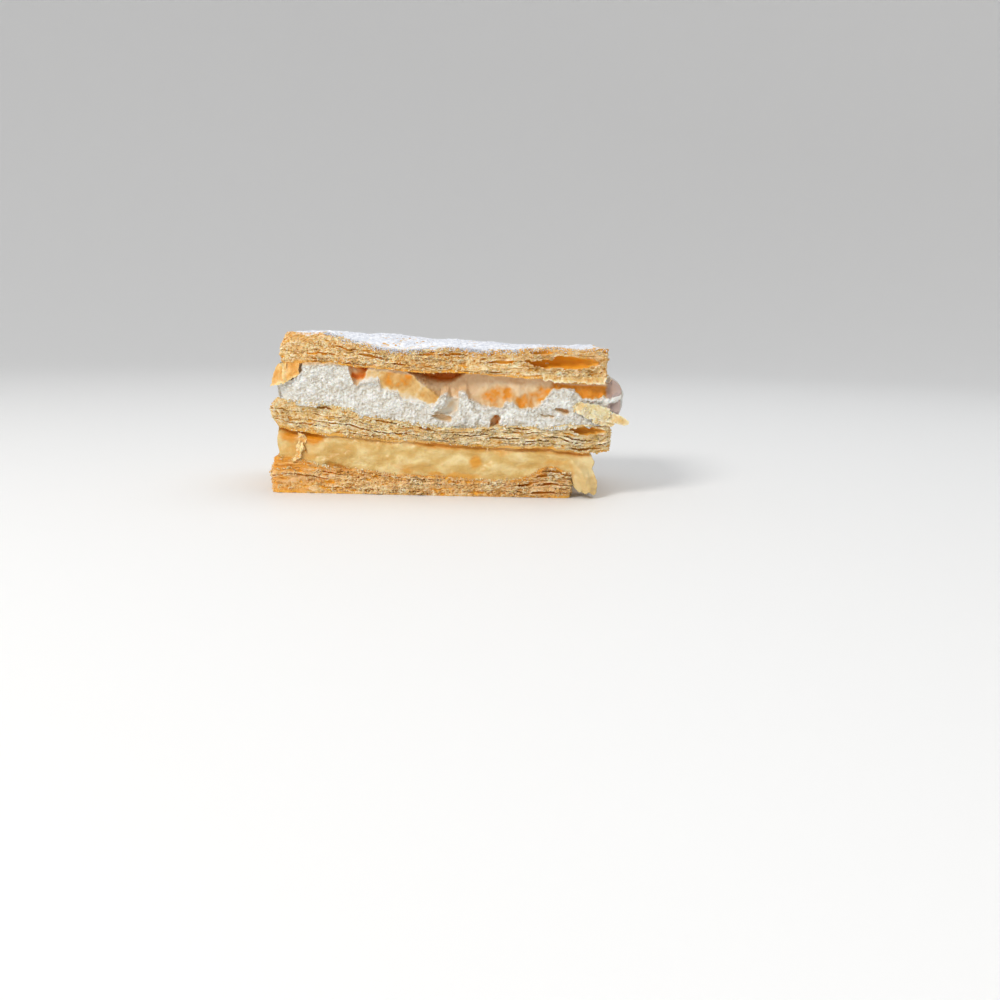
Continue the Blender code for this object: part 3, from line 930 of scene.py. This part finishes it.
# Lumps and hollows: a line of (distance along, height, half width), then how deep it is and how much painted
# shade colours it.
STROKES = (
    (
        ((61.1, 35.8, 1.6), (61.1, 32.0, 1.7), (60.9, 30.2, 1.8), (59.4, 28.9, 1.3), (55.6, 28.0, 0.6)),
        2.4, 0.2,
    ),
    (((54.2, 27.0, 0.2), (57.0, 26.8, 1.0), (59.8, 26.2, 0.9)), 2.2, 0.44),
    (((75.7, 26.7, 1.0), (75.0, 25.5, 1.4), (74.3, 24.4, 0.7)), 3.0, 0.85),
    (((95.8, 30.1, 0.5), (98.6, 29.2, 0.95)), 2.2, 0.48),
    (((91.0, 27.6, 0.3), (93.8, 27.3, 0.5)), 1.5, 0.4),
    (((114.8, 31.4, 1.2), (117.2, 32.6, 1.5)), 1.8, 0.12),
    (((2.6, 33.0, 1.6), (4.6, 34.0, 1.6)), 1.0, 0.05),
    (((29.4, 44.5, 3.2), (29.4, 40.4, 2.4)), 0.1, 0.78),
    (((60.6, 25.2, 1.2), (64.0, 26.0, 1.4)), -1.4, 0.0),
    (((64.6, 34.4, 1.3), (65.2, 30.0, 2.6), (66.6, 26.8, 3.0)), -0.9, 0.0),
    (((58.6, 34.0, 0.8), (57.6, 31.4, 1.2), (54.4, 28.8, 1.4)), -0.8, 0.0),
    (((112.4, 33.0, 0.6), (115.0, 34.0, 0.7), (118.0, 35.6, 0.7)), -0.7, 0.0),
    (((30.6, 38.0, 0.3), (36.0, 38.6, 0.4), (37.0, 35.2, 0.4)), -0.5, 0.0),
)
# The white streak of cut cream across the painted mauve shade on the lobe at the right, its tone raised as a
# painted highlight: a line of (distance along, height, half width).
STREAK = ((111.0, 32.8, 1.0), (113.6, 33.4, 0.8), (116.0, 34.6, 0.7), (119.5, 36.4, 0.6))
# Ovals: distance along, height, half width, half height, and how far the cream stands out or is browned.
LUMPS = (
    (16, 37, 7, 6, 0.5), (40, 31, 9, 4, 0.4), (97, 33, 5, 4, 0.6), (84, 27, 6, 2, 0.4),
    (20, 30, 6, 3, 0.3),
)
TOASTED = (
    (5, 40.5, 6, 4, 1.0), (34.5, 41.0, 3.4, 2.2, 0.42), (42.4, 39.6, 6.4, 5.0, 0.8),
    (46.0, 40.6, 1.8, 1.6, 0.95), (48, 36.4, 3, 3, 0.5), (53.6, 33.6, 4.8, 3.4, 0.68),
    (76.2, 33.8, 7.4, 4.6, 0.9), (77.8, 34.6, 3.4, 3.0, 1.0), (84.9, 32.0, 4.2, 3.8, 0.95),
    (91.3, 35.0, 6.0, 3.8, 0.9), (103, 36.4, 11.0, 4.4, 1.2),
)
CREAM_LOBES = (2.2 * MM, 7.4 * MM)  # how far the ropes' ends stand out at the left and at the right
CREAM_ROPE = 8.4 * MM  # from one rope to the next
CREAM_RISES = 112.8  # how far along the slice the cream begins to reach up behind the top sheet's end
MAUVE_SHADE_START = 111.8  # how far along the painted mauve shade on the cream's lobe begins


def cream(middle, top):
    """The whipped cream under the top sheet, smeared over the edge of the sheet below it here and there."""

    def smeared(x, y):
        flat = stacked(x, 0, 0)
        share = smooth(1.5 * rough(flat, 3.4 * MM, 97) + 0.7 * rough(flat, 1.2 * MM, 98) - 0.1)
        return share * (1 - smooth((y - CUT) / (1.5 * MM)))

    def under(x, y):
        return middle.heights.top(x, y) - (0.3 + 1.1 * smeared(x, y)) * MM

    def over(x, y):
        return top.heights.bottom(x, y) + (0.5 + 1.7 * smooth((x - LEFT) / MM - CREAM_RISES)) * MM

    fill = Filling("cream", cream_material(), under, over, CREAM_LOBES, CREAM_ROPE, rows=84, seed=31.0)
    noisy, line = fill.noisy, fill.outline
    s, z = fill.s, fill.z / MM
    s_warped, z_warped = fill.warped(0.7, 0.6, 0.35, (2.6, 1.0))

    # Where the torn cream ends, and the skin and the hollows above it begin. The back cut has its own.
    ragged = 0.35 * noisy(2.0, 1) + 0.35 * noisy(0.8, 2)
    back_edge = 36 + 8 * noisy((15, 15, 1), 3, flat=True)
    edge = np.where(line.back, back_edge, through(TORN, (s + s_warped) / 2)) + ragged
    back_skin = edge + 2.5 * noisy((9, 9, 1), 4, flat=True)
    skin_top = np.maximum(np.where(line.back, back_skin, through(SKIN_TOP, s) + ragged), edge)
    hollow = np.where(line.back, 3 + 1.5 * noisy((12, 12, 1), 5, flat=True), through(HOLLOW, s))
    on_skin = smooth((z - edge) / 0.6)
    in_hollow = smooth((z - skin_top) / 0.5)
    behind = np.where(line.front, smooth((z - through(BEHIND, s_warped)) / 2.0), 0)

    # How far each place lies behind the cut, in millimetres.
    carving = carved((s + s_warped) / 2, (z + z_warped) / 2, STROKES, 0.9)
    sunk, tinted = (np.where(line.front, part, 0) for part in carving)
    lumps = np.where(line.front, mound(s_warped, z_warped, LUMPS), 0)
    cut = np.where(line.ends, 0.0, 1.0)
    torn = (1 - on_skin) * (1 - smooth(sunk / 2))
    pocket = hollow * (1 - np.exp(-np.clip(z - skin_top, 0, None) / 1.1)) + 2.5 * behind
    depth = 0.5 * on_skin + np.maximum(pocket, np.maximum(sunk, 0)) + np.minimum(sunk, 0) - lumps
    there = stacked(fill.x, line.inward(0, depth * cut * MM)[1], fill.z)
    grain = 0.25 * billow(there, 2.3 * MM, 36) + 0.32 * billow(there, 1.2 * MM, 37)
    grain += 0.36 * billow(there, 0.65 * MM, 38) + 0.2 * rough(there, 0.4 * MM, 39)
    depth -= 0.52 * grain * torn + 0.6 * noisy(5, 6) + 0.12 * noisy(0.8, 7) * on_skin
    depth -= 0.16 * crest(there, 2.4 * MM, 44) * on_skin
    depth -= 1.5 * np.where(line.front, smeared(fill.x, CUT), 0) * np.exp(-fill.level / 0.05)
    depth -= 0.3 * rough(there, (1.6 * MM, 1.6 * MM, 4 * MM), 45) * in_hollow
    lip = np.exp(-(((z - edge + 0.3) / 0.5) ** 2)) * smooth(hollow / 2)
    depth -= 0.55 * lip
    rim = smooth(1 - line.from_corner / (4.5 * MM)) * np.clip(fill.bulge / (2 * MM), 0, 1)
    depth -= 0.85 * rim * (line.side > 0) * np.clip(depth, 0, None)

    # How browned its skin is, and the painted shade: beige to dark amber in the hollows, the dents and the
    # band under the sheet above, and mauve on the lobes at the right.
    shade_under_sheet = np.where(line.front, 0.38, 0) * smooth((fill.level - 0.88) / 0.12)
    tinted = tinted * (0.85 + 0.5 * noisy(1.8, 25)) + shade_under_sheet
    membrane = on_skin * (1 - in_hollow)
    toasted = mound(s_warped, z_warped, TOASTED) * (0.95 + 0.3 * noisy(2.2, 9)) + 0.12 * noisy(0.9, 24)
    toasted = np.maximum(toasted, 0.28 * membrane)
    faded = smooth((z - edge + 0.8 * noisy(1.3, 26)) / np.where(s < 60, 1.8, 0.6))
    toasted = np.where(line.back, 0.6 + 0.4 * noisy(5, 10), toasted)
    shaded = smooth((s - 112) / 2)
    beige = 0.4 * smooth((fill.level - 0.5) / 0.4) * np.clip(0.4 + noisy(3.5, 27), 0, 1)
    # Painted shade: beige in the hollows, less on the mauve lobe, darker in the dents, the band under the
    # sheet and the hollow behind.
    inner = np.maximum(in_hollow * (1 - toasted) * 0.33 * (1 - 0.6 * shaded), tinted) + behind * 0.55
    # Painted mauve shade on the right lobes, left out along the streak of cut cream, and on the right ends,
    # more near the front.
    streak = smooth(within(s_warped, z_warped, STREAK) / 0.4 + 0.5)
    by_front = smooth(1 - line.from_corner / (6 * MM)) * (line.y < line.middle[1])
    outside = 0.16 + 0.2 * noisy(4, 28) + 0.6 * by_front
    mauve = smooth((s - MAUVE_SHADE_START) / 1.0) * (line.side > 0) * np.where(line.front, 1 - streak, outside)
    # Painted shade in the grain's pits and a painted highlight on the streak.
    tone = 0.52 + 0.9 * grain * np.where(line.ends, 0.4, torn) + 0.35 * streak * line.front
    return fill.build(
        depth * cut, swell=1 + 0.1 * noisy(5, 11), fuzz=0.3 * grain + 0.35 * noisy(2.6, 12), sharp=60,
        skin=np.where(line.ends, beige, on_skin * faded * toasted), inner=inner * cut,
        mauve=0.85 * mauve, tone=tone,
    )


# The custard at the front cut, at each distance along: how far it has sunk away from the sheet above it, in
# millimetres, and how much amber painted shade lies under that sheet there.
SUNK = (
    (0, 0.6), (3, 1.4), (6, 2.2), (12, 2.4), (17, 1.2), (19, 0.3), (27, 0.6), (44, 0.4), (50, 0.6),
    (53, 1.3), (61, 1.0), (66, 1.2), (78, 0.9), (84, 1.6), (90, 1.4), (101, 1.4), (108, 0.8),
)
AMBER = (
    (0, 0.6), (4, 0.8), (9, 0.7), (11, 1.0), (16, 1.0), (18.5, 0.3), (45, 0.3), (52, 0.9), (61, 0.8),
    (64, 0.6), (74, 0.6), (80, 0.4), (84, 0.9), (90, 0.8), (95, 0.5), (100, 0.9), (108, 0.8),
)
# Spots of amber painted shade under the middle sheet, and egg-yellow spots: ovals, as for the cream.
AMBER_SHADE_SPOTS = (
    (6.3, 19.4, 3.2, 1.8, 0.9), (14.2, 19.2, 3.4, 2.2, 1.2), (57, 17.2, 5, 1.2, 0.8),
    (105, 17.0, 4, 1.2, 0.8),
)
YOLK = (
    (68.8, 11.6, 2.2, 2.4, 0.95), (10, 15, 7, 3.5, 0.35), (84, 10.4, 2.5, 1.2, 0.3),
    (48, 9.8, 7, 1.6, 0.3), (30, 16.2, 8, 1.6, 0.25), (45.4, 8.3, 2.8, 1.3, 0.6),
    (55.5, 7.2, 3.2, 1.2, 0.8), (64, 6.8, 6.5, 1.2, 0.8), (5.6, 11.4, 2.6, 1.4, 1.0),
    (77, 15, 4, 1.4, 0.4), (12.5, 13, 2.5, 2, 0.5), (96.5, 12.0, 4.5, 1.3, 0.55),
    (101.2, 8.6, 1.0, 3.4, 0.5),
)
# Smears and dents, as the cream's lumps and hollows.
SMEARS = (
    (((13.6, 8.4, 0.5), (16.0, 10.8, 0.7), (20.4, 11.9, 0.5)), -0.6, 0.0),
    (((19.0, 10.0, 0.6), (22.5, 9.0, 0.8), (26.0, 7.9, 0.3)), 1.2, 0.9),
    (((39.4, 14.6, 0.5), (40.2, 11.4, 0.7)), -0.4, 0.0),
    (((72.0, 9.4, 0.8), (75.0, 10.0, 1.2), (79.0, 9.2, 0.6)), -0.5, 0.0),
)
CUSTARD_LOBES = (1.2 * MM, 3.4 * MM)
CUSTARD_ROPE = 10.5 * MM
# The tongue of custard that hangs over the end of the bottom sheet at the front right corner, in millimetres:
# where it begins, how far back from the cut it reaches, and the height of its tip at each distance along.
# Then, at each height, how far along its ridge lies and how far it stands out at its end.
TONGUE_START = 100.9
TONGUE_BACK = 9.0
TONGUE_TIP = (
    (101, 4.4), (102, 3.6), (103, 3.0), (104.3, 2.0), (105.3, 2.8), (106.4, 1.4), (107.4, 2.4),
    (109, 0.8), (110, 0.6),
)
TONGUE_RIDGE = ((1, 107.8), (4, 107.0), (7, 105.6), (10, 104.0), (13, 101.5), (17, 97.0))
TONGUE_OUT = ((0, 2.4), (4, 1.9), (7.5, 0.8), (10.5, -0.9), (13, 0.3), (15, -0.6), (17, 0.0))


def custard(bottom, middle):
    """The custard between the lower two sheets, with its tongue."""

    def at_front(y):
        return 1 - smooth(((y - CUT) / MM - TONGUE_BACK) / 4)

    def under(x, y):
        s = (x - LEFT) / MM
        on_sheet = bottom.heights.top(x, y) - 0.5 * MM
        tip = (through(TONGUE_TIP, s) + 0.5 * rough(stacked(x, y, 0), 0.9 * MM, 95)) * MM
        return on_sheet + (tip - on_sheet) * smooth((s - TONGUE_START) / 1.6) * at_front(y)

    def over(x, y):
        return middle.heights.bottom(x, y) + 0.5 * MM

    def push(y, z):
        return through(TONGUE_OUT, z / MM) * MM * at_front(y)

    fill = Filling(
        "custard", custard_material(), under, over, CUSTARD_LOBES, CUSTARD_ROPE, rows=56, seed=57.0, push=push
    )
    noisy, line = fill.noisy, fill.outline
    s, z = fill.s, fill.z / MM
    s_warped, z_warped = fill.warped(0.6, 0.5, 0.3, (2.4, 0.9))
    below_sheet = (middle.heights.bottom(fill.x, fill.y) - fill.z) / MM + 0.5 * noisy((3, 3, 9), 1)
    upward = smooth((2.4 - below_sheet) / 2.0)
    sunk = np.where(line.front, through(SUNK, s), 0.7 + 0.8 * noisy((9, 9, 40), 2))
    smears, tinted = (np.where(line.front, part, 0) for part in carved(s_warped, z_warped, SMEARS, 2.6))
    depth = sunk * upward - 0.45 * noisy((9, 9, 4), 3) - 0.22 * noisy((3.5, 3.5, 1.6), 4) + smears
    depth -= 0.12 * noisy((1.6, 1.6, 0.8), 5) + 0.07 * billow(fill.where, 0.8 * MM, 63)
    ridge = np.exp(-(((s - through(TONGUE_RIDGE, z)) / 1.9) ** 2)) * smooth((15.5 - z) / 6) * line.front
    depth -= 1.5 * ridge
    cut = np.where(line.ends, 0.0, 1.0)
    yolk = np.where(line.front, mound(s_warped, z_warped, YOLK), 0.2 + 0.3 * noisy(6, 8))
    yolk = yolk + 0.15 * noisy(2.5, 9) + tinted
    # Amber painted shade under the middle sheet, and more in spots.
    amber = np.where(line.front, through(AMBER, s), 0.6) * smooth((2.0 - below_sheet) / 1.4)
    amber = amber + 0.12 * noisy(1.5, 10)
    amber = np.maximum(amber, np.where(line.front, mound(s_warped, z_warped, AMBER_SHADE_SPOTS), 0))
    fuzz = 0.4 * noisy(2.4, 11) + 0.2 * noisy(0.9, 12)
    # A painted highlight: the tongue paler towards its end.
    pale = 0.28 * smooth((s - 99) / 4) * line.front
    swell = 1 + 0.12 * noisy(4, 7)
    return fill.build(depth * cut, swell, fuzz, sharp=60, yolk=yolk, inner=amber * cut, pale=pale)


# ---------------------------------------------------------------- loose leaves and crumbs


def leaf(corners, seed, thick=0.3, torn=(1, 1, 1, 1), pale=0.6, cells=(40, 18), grainy=1.0, taper=0.0):
    """A thin rough leaf between four corners: lower left, lower right, upper right and upper left, each
    (distance along the slice, height above the base, distance out from the front cut), in millimetres.
    Its left, right, lower and upper sides are torn by these shares, and its ends narrowed by taper."""
    mesh = block(*cells, 1)
    a, b, c = points_of(mesh).T
    grid = np.array(corners)
    low = grid[0] * (1 - a[:, None]) + grid[1] * a[:, None]
    high = grid[3] * (1 - a[:, None]) + grid[2] * a[:, None]
    across = (0.5 + (b - 0.5) * (1 - taper * (2 * a - 1) ** 4))[:, None]
    spread = low * (1 - across) + high * across
    flat = stacked(spread[:, 0], spread[:, 1], 0) * MM
    rim = np.zeros(len(a))
    for side, (share, reach) in enumerate(zip(torn, (a, 1 - a, b, 1 - b))):
        size = np.linalg.norm(grid[1] - grid[0]) if side < 2 else np.linalg.norm(grid[3] - grid[0])
        near = share * smooth(1 - reach * size / 1.2)
        rim = np.maximum(rim, near)
        out = (-1, 1, -1, 1)[side] * near
        ragged = 0.55 * rough(flat, 1.6 * MM, seed + side) + 0.35 * rough(flat, 0.6 * MM, seed + side + 9)
        spread[:, 0 if side < 2 else 1] += out * ragged
    curl = 0.6 * rough(flat, 3 * MM, seed + 2) + 0.25 * rough(flat, 1.1 * MM, seed + 3)
    crumbly = grainy * (0.22 * billow(flat, 0.9 * MM, seed + 4) + 0.12 * rough(flat, 0.4 * MM, seed + 5))
    spread[:, 2] += curl + 0.35 * rim + np.where(c > 0.5, crumbly, 0) + (c - 0.5) * thick * (1 - 0.6 * rim)
    spread[:, 2] -= 0.6 * np.clip(spread[:, 2] - LEAF_OUT, 0, None)
    move_points(mesh, stacked(LEFT + spread[:, 0] * MM, CUT - spread[:, 2] * MM, spread[:, 1] * MM))
    # Tone: painted shade in the pits of the crumbly face and painted highlight on the torn rims, partly the
    # leaf's own colour.
    tone = pale + 1.2 * crumbly + 0.25 * rough(flat, 2 * MM, seed + 6) + 0.35 * rim
    note(mesh, tone=tone, inner=0.0, toast=0.3 + 0.5 * rough(flat, 2.5 * MM, seed + 7) - 0.4 * rim)
    return mended(mesh)


def loose(name, leaves, material, node, slot, **looks):
    """A piece of loose leaves, each given by its corners and seed."""
    mesh = joined([leaf(*corners_and_seed, **looks) for corners_and_seed in leaves])
    piece(name, mesh, material, node, slot, sharp=50)
    return mesh


def strewn(name, mesh, count, material, node, slot, seed):
    """Crumbs strewn over a loose leaf."""
    surface = points_of(mesh)[None]
    facing = np.tile((0.0, -1.0), (len(mesh.vertices), 1))
    outer = (surface[..., 1] < np.median(surface[..., 1]) + 0.6 * MM).astype(float)
    crumbs(name, surface, facing, outer, count, (0.08, 0.32), chip_shape, material, node, slot, seed)


# Loose leaves, each with its four corners and its seed.
LOOSE_SKIN = (
    (((4.6, 37.2, 0.7), (10.2, 39.8, 0.5), (9.8, 43.8, 0.2), (4.4, 43.8, 0.2)), 301.0),
    (((0.2, 36.0, 0.3), (5.4, 37.4, 0.7), (6.0, 43.8, 0.2), (2.8, 43.4, -0.4)), 302.0),
)
STUCK_FLAKE = (
    (((9.6, 15.0, 0.3), (11.4, 14.4, 0.1), (11.6, 20.6, -0.5), (9.2, 20.8, -0.5)), 331.0),
    (((7.6, 11.2, 0.3), (9.6, 11.6, 0.4), (11.2, 17.2, 0.1), (9.2, 17.8, 0.0)), 335.0),
)
PALE_SHREDS = (
    (((100.6, 29.4, 0.5), (107.4, 28.0, 1.0), (107.6, 32.2, 1.3), (101.6, 33.0, 0.8)), 311.0),
    (((103.0, 27.8, 0.9), (113.2, 26.2, 0.9), (113.6, 31.2, 1.6), (104.4, 32.4, 1.4)), 312.0),
    (((107.6, 27.8, 1.2), (119.6, 24.6, 0.6), (119.6, 27.6, 0.3), (108.6, 31.8, 1.4)), 313.0),
    (((107.0, 25.4, 0.5), (115.6, 24.6, 0.4), (114.6, 27.8, 0.9), (107.6, 28.0, 0.9)), 314.0),
)
HANGING_LEAF = (((91.0, 39.5, 0.6), (111.4, 38.7, 0.8), (112.0, 41.0, 0.0), (90.0, 42.0, 0.0)), 321.0)


# ---------------------------------------------------------------- icing sugar


def sugar(sheet, material):
    """The sifted sugar on the crust, thin enough in places to show it."""
    mesh = block(290, 125, 1)
    a, b, c = points_of(mesh).T
    low, high = sheet.low + 0.5 * MM, sheet.high - 0.5 * MM
    low[0] += (sheet.ends[0] + sheet.ends[1]) * MM
    x, y = low[0] + (high[0] - low[0]) * a, low[1] + (high[1] - low[1]) * b
    flat = stacked(x, y, 0)
    along, back = x - LEFT, y - low[1]
    inside = np.minimum(np.minimum(x - low[0], high[0] - x), np.minimum(back, high[1] - y)) / MM
    cover = 0.48 + 0.3 * rough(flat, (9 * MM, 9 * MM, 1), 60) + 0.25 * rough(flat, (3 * MM, 3 * MM, 1), 61)
    cover += 0.35 * rough(flat, (1.1 * MM, 1.1 * MM, 1), 62) - 0.6 * np.clip(1 - inside / 2.6, 0, 1)
    cover -= smooth(1 - (along - 8 * MM) / (10 * MM)) * smooth(1 - back / (7 * MM))
    cover -= 1.1 * smooth((along - 80 * MM) / (14 * MM)) * smooth(1 - back / (13 * MM))
    powder = np.clip(cover, -1, 0.4) * 0.6 + 0.2 * billow(flat, (1.5 * MM, 1.5 * MM, 1), 63)
    powder += 0.12 * rough(flat, (0.6 * MM, 0.6 * MM, 1), 64)
    z = sheet.place(x, y, 1.0) + sheet.baked_relief(x, y) + np.where(c > 0.5, powder, -0.6) * MM
    move_points(mesh, stacked(x, y, z))
    piece("icing_sugar", mended(mesh), material, "top_sheet", "top_pastry", sharp=60)


def grains(sheet, material, count):
    """Loose grains and small clots of the sugar, on the crust and caught on the leaves' upper edges."""
    draw = np.random.default_rng(SEED + 9)
    slanted = (sheet.ends[0] + sheet.ends[1]) * MM
    x = draw.uniform(sheet.low[0] + slanted + 0.5 * MM, sheet.high[0] - 0.5 * MM, count)
    on_edge = draw.uniform(0, 1, count) < 0.55
    y = sheet.low[1] + np.where(on_edge, draw.normal(0.2, 0.35, count), draw.uniform(0.5, 46, count)) * MM
    z = sheet.place(x, y, 1.0) + sheet.baked_relief(x, y) + draw.uniform(-0.3, 0.35, count) * MM
    z -= np.where(on_edge, np.abs(draw.normal(0, 0.7, count)), 0) * MM
    along, back = x - LEFT, y - sheet.low[1]
    kept = (along > 18 * MM) | (back > 5 * MM)
    kept &= (along < 82 * MM) | (back > 6 * MM) | (draw.uniform(0, 1, count) < 0.3)
    places = stacked(x, y, z)[kept]
    sizes = draw.uniform(0.05, 0.15, (len(places), 1)) * draw.uniform(0.7, 1.4, (len(places), 3)) * MM
    turns = draw.uniform(-3, 3, (3, len(places)))
    none = np.zeros(len(places))
    mesh = scattered(chip_shape(), places, sizes, turns, none, none + 0.06 * MM, 80)
    piece("sugar_grains", mesh, material, "top_sheet", "top_pastry")


# ---------------------------------------------------------------- light, floor and camera


def studio():
    """A pale floor that curves up all round, soft daylight from the left, and a white surround."""
    scene = bpy.context.scene
    world = bpy.data.worlds.new("surround")
    world.use_nodes = True
    world.node_tree.nodes["Background"].inputs["Color"].default_value = (1.0, 1.0, 1.0, 1.0)
    world.node_tree.nodes["Background"].inputs["Strength"].default_value = 0.55
    scene.world = world
    scene.view_settings.view_transform = "Standard"

    def lamp(name, place, size, power, colour):
        light = bpy.data.lights.new(name, "AREA")
        light.shape = "DISK"
        light.size, light.energy, light.color = size, power, colour
        made = bpy.data.objects.new(name, light)
        made.location = place
        made.rotation_euler = (Vector((0, 0, 0.03)) - Vector(place)).to_track_quat("-Z", "Y").to_euler()
        scene.collection.objects.link(made)

    lamp("window", (-0.50, -0.62, 0.62), 0.32, 5.9, (1.0, 0.98, 0.95))
    lamp("sky", (0.3, 0.2, 0.85), 0.7, 2.0, (0.93, 0.97, 1.0))

    bm = bmesh.new()
    bmesh.ops.create_grid(bm, x_segments=96, y_segments=96, size=3.2)
    mesh = mesh_from(bm)
    spots = points_of(mesh)
    flat, bend = 0.8, 1.2
    from_middle = np.abs(spots).max(axis=1)
    turn = np.clip((from_middle - flat) / bend, 0, math.pi / 2)
    reach = np.minimum(from_middle, flat) + bend * np.sin(turn)
    rise = bend * (1 - np.cos(turn)) + np.clip(from_middle - flat - bend * math.pi / 2, 0, None)
    outward = spots[:, :2] / np.maximum(np.linalg.norm(spots, axis=1), 1e-9)[:, None]
    move_points(mesh, stacked(outward[:, 0] * reach, outward[:, 1] * reach, rise))
    mesh.shade_smooth()
    paint = Shader("pale floor", 0.6)
    paint.colour(srgb(240, 240, 240))
    mesh.materials.append(paint.material)
    floor = bpy.data.objects.new("floor", mesh)
    scene.collection.objects.link(floor)


EYE_ALONG, EYE_AWAY, EYE_UP = 77.3 * MM, 302 * MM, 59 * MM  # along the slice, from its cut, above its base
EYE_DOWN, EYE_ROLL = math.radians(11.24), math.radians(1.15)


def camera():
    """Close in front of the long cut face and just above the crust, looking a little down."""
    data = bpy.data.cameras.new("camera")
    data.lens, data.sensor_width = 32.6, 36
    data.clip_start = 0.01
    made = bpy.data.objects.new("camera", data)
    made.location = (LEFT + EYE_ALONG, CUT - EYE_AWAY, EYE_UP)
    tilt, roll = Matrix.Rotation(math.pi / 2 - EYE_DOWN, 3, "X"), Matrix.Rotation(EYE_ROLL, 3, "Z")
    made.rotation_euler = (tilt @ roll).to_euler()
    bpy.context.scene.collection.objects.link(made)
    bpy.context.scene.camera = made


# ---------------------------------------------------------------- the slice


LAST_CRUMB = 101.5  # how far along the slice crumbs cling to the feet of the fillings, in millimetres


def sheets():
    """The three sheets of pastry, from the top."""
    golden = pastry_material("golden pastry")
    pale = pastry_material("pale pastry")
    toasted = pastry_material("toasted pastry")
    top = Sheet(
        "top_sheet", "top_pastry", golden, SEED,
        leaves=9, gaps=TOP_GAPS, ends=(0.9, 2.4, 0.3), dusted=1.0,
        leafy=((0, -0.3), (14, -0.1), (24, 0.3), (113, 0.5)),
        browning=((0, 0.0), (20, 0.1), (40, 0.1), (70, 0.15), (113, 0.3)),
        baking=((0, 0.9), (0.08, 0.6), (0.15, 0.0), (0.6, 0.0), (0.8, 0.2), (1, 0.4)),
    )
    middle = Sheet(
        "middle_sheet", "middle_pastry", pale, SEED + 200,
        leaves=8, gaps=MIDDLE_GAPS, ends=(2.4, 0.0, 1.2),
        leafy=((0, 0.0), (30, 0.3), (70, 0.3), (84, 0.9), (119, 1.0)),
        browning=((0, 0.2), (30, 0.3), (80, 0.3), (100, 0.1)),
        baking=((0, 0.8), (0.1, 0.4), (0.16, 0.0), (0.9, 0.0), (1, 0.1)),
    )
    bottom = Sheet(
        "bottom_sheet", "bottom_pastry", toasted, SEED + 400,
        leaves=8, gaps=BOTTOM_GAPS, ends=(0.2, 0.9, 0.2),
        leafy=((0, 1.0), (14, 0.8), (24, 0.0), (78, 0.0), (88, 0.8)),
        browning=((0, 0.6), (14, 0.4), (30, 0.0), (78, 0.1), (90, 0.5)),
        baking=((0, 0.1), (0.5, 0.0), (0.8, 0.3), (1, 0.6)),
    )
    for sheet in (top, middle, bottom):
        sheet.edges()
        sheet.core()
    return top, middle, bottom


def foot_crumbs(filling, name, count, size, shape, material):
    """Crumbs or lumps caught along the foot of a filling."""
    low = np.clip(1 - filling.level / 0.1, 0, 1) ** 2 * (filling.level > 0) * (filling.s < LAST_CRUMB)
    crumbs(
        name, filling.surface, filling.outline.facing, low * np.where(filling.outline.ends, 0.3, 1.0),
        count, size, shape, material, filling.node, filling.node, SEED + count,
    )


def main():
    studio()
    camera()
    top, middle, bottom = sheets()
    whipped = cream(middle, top)
    set_custard = custard(bottom, middle)
    foot_crumbs(whipped, "cream_crumbs", 700, (0.08, 0.3), chip_shape, middle.material)
    foot_crumbs(whipped, "cream_lumps", 260, (0.1, 0.4), lump_shape, whipped.material)
    foot_crumbs(set_custard, "custard_crumbs", 1400, (0.08, 0.3), chip_shape, top.material)
    powder = sugar_material()
    sugar(top, powder)
    grains(top, powder, count=6000)

    skin = pastry_material("orange skin")
    loose("loose_skin", LOOSE_SKIN, skin, "cream", "top_pastry", torn=(0.6, 0.6, 1, 0), grainy=0.45)
    upright = loose(
        "stuck_flake", STUCK_FLAKE, skin, "custard", "middle_pastry", thick=0.6, pale=0.5, cells=(14, 26)
    )
    strewn("stuck_crumbs", upright, 60, top.material, "custard", "middle_pastry", 341)
    soft = pastry_material("soft pale pastry")
    shreds = loose(
        "pale_shreds", PALE_SHREDS, soft, "middle_sheet", "middle_pastry",
        thick=0.4, torn=(0.6,) * 4, grainy=0.3, taper=0.75,
    )
    strewn("shred_crumbs", shreds, 240, soft, "middle_sheet", "middle_pastry", 342)
    flap = leaf(*HANGING_LEAF, torn=(1, 0.8, 1, 0), pale=0.5, cells=(100, 14), grainy=0.35)
    piece("hanging_leaf", flap, top.material, "top_sheet", "top_pastry", sharp=50)


main()
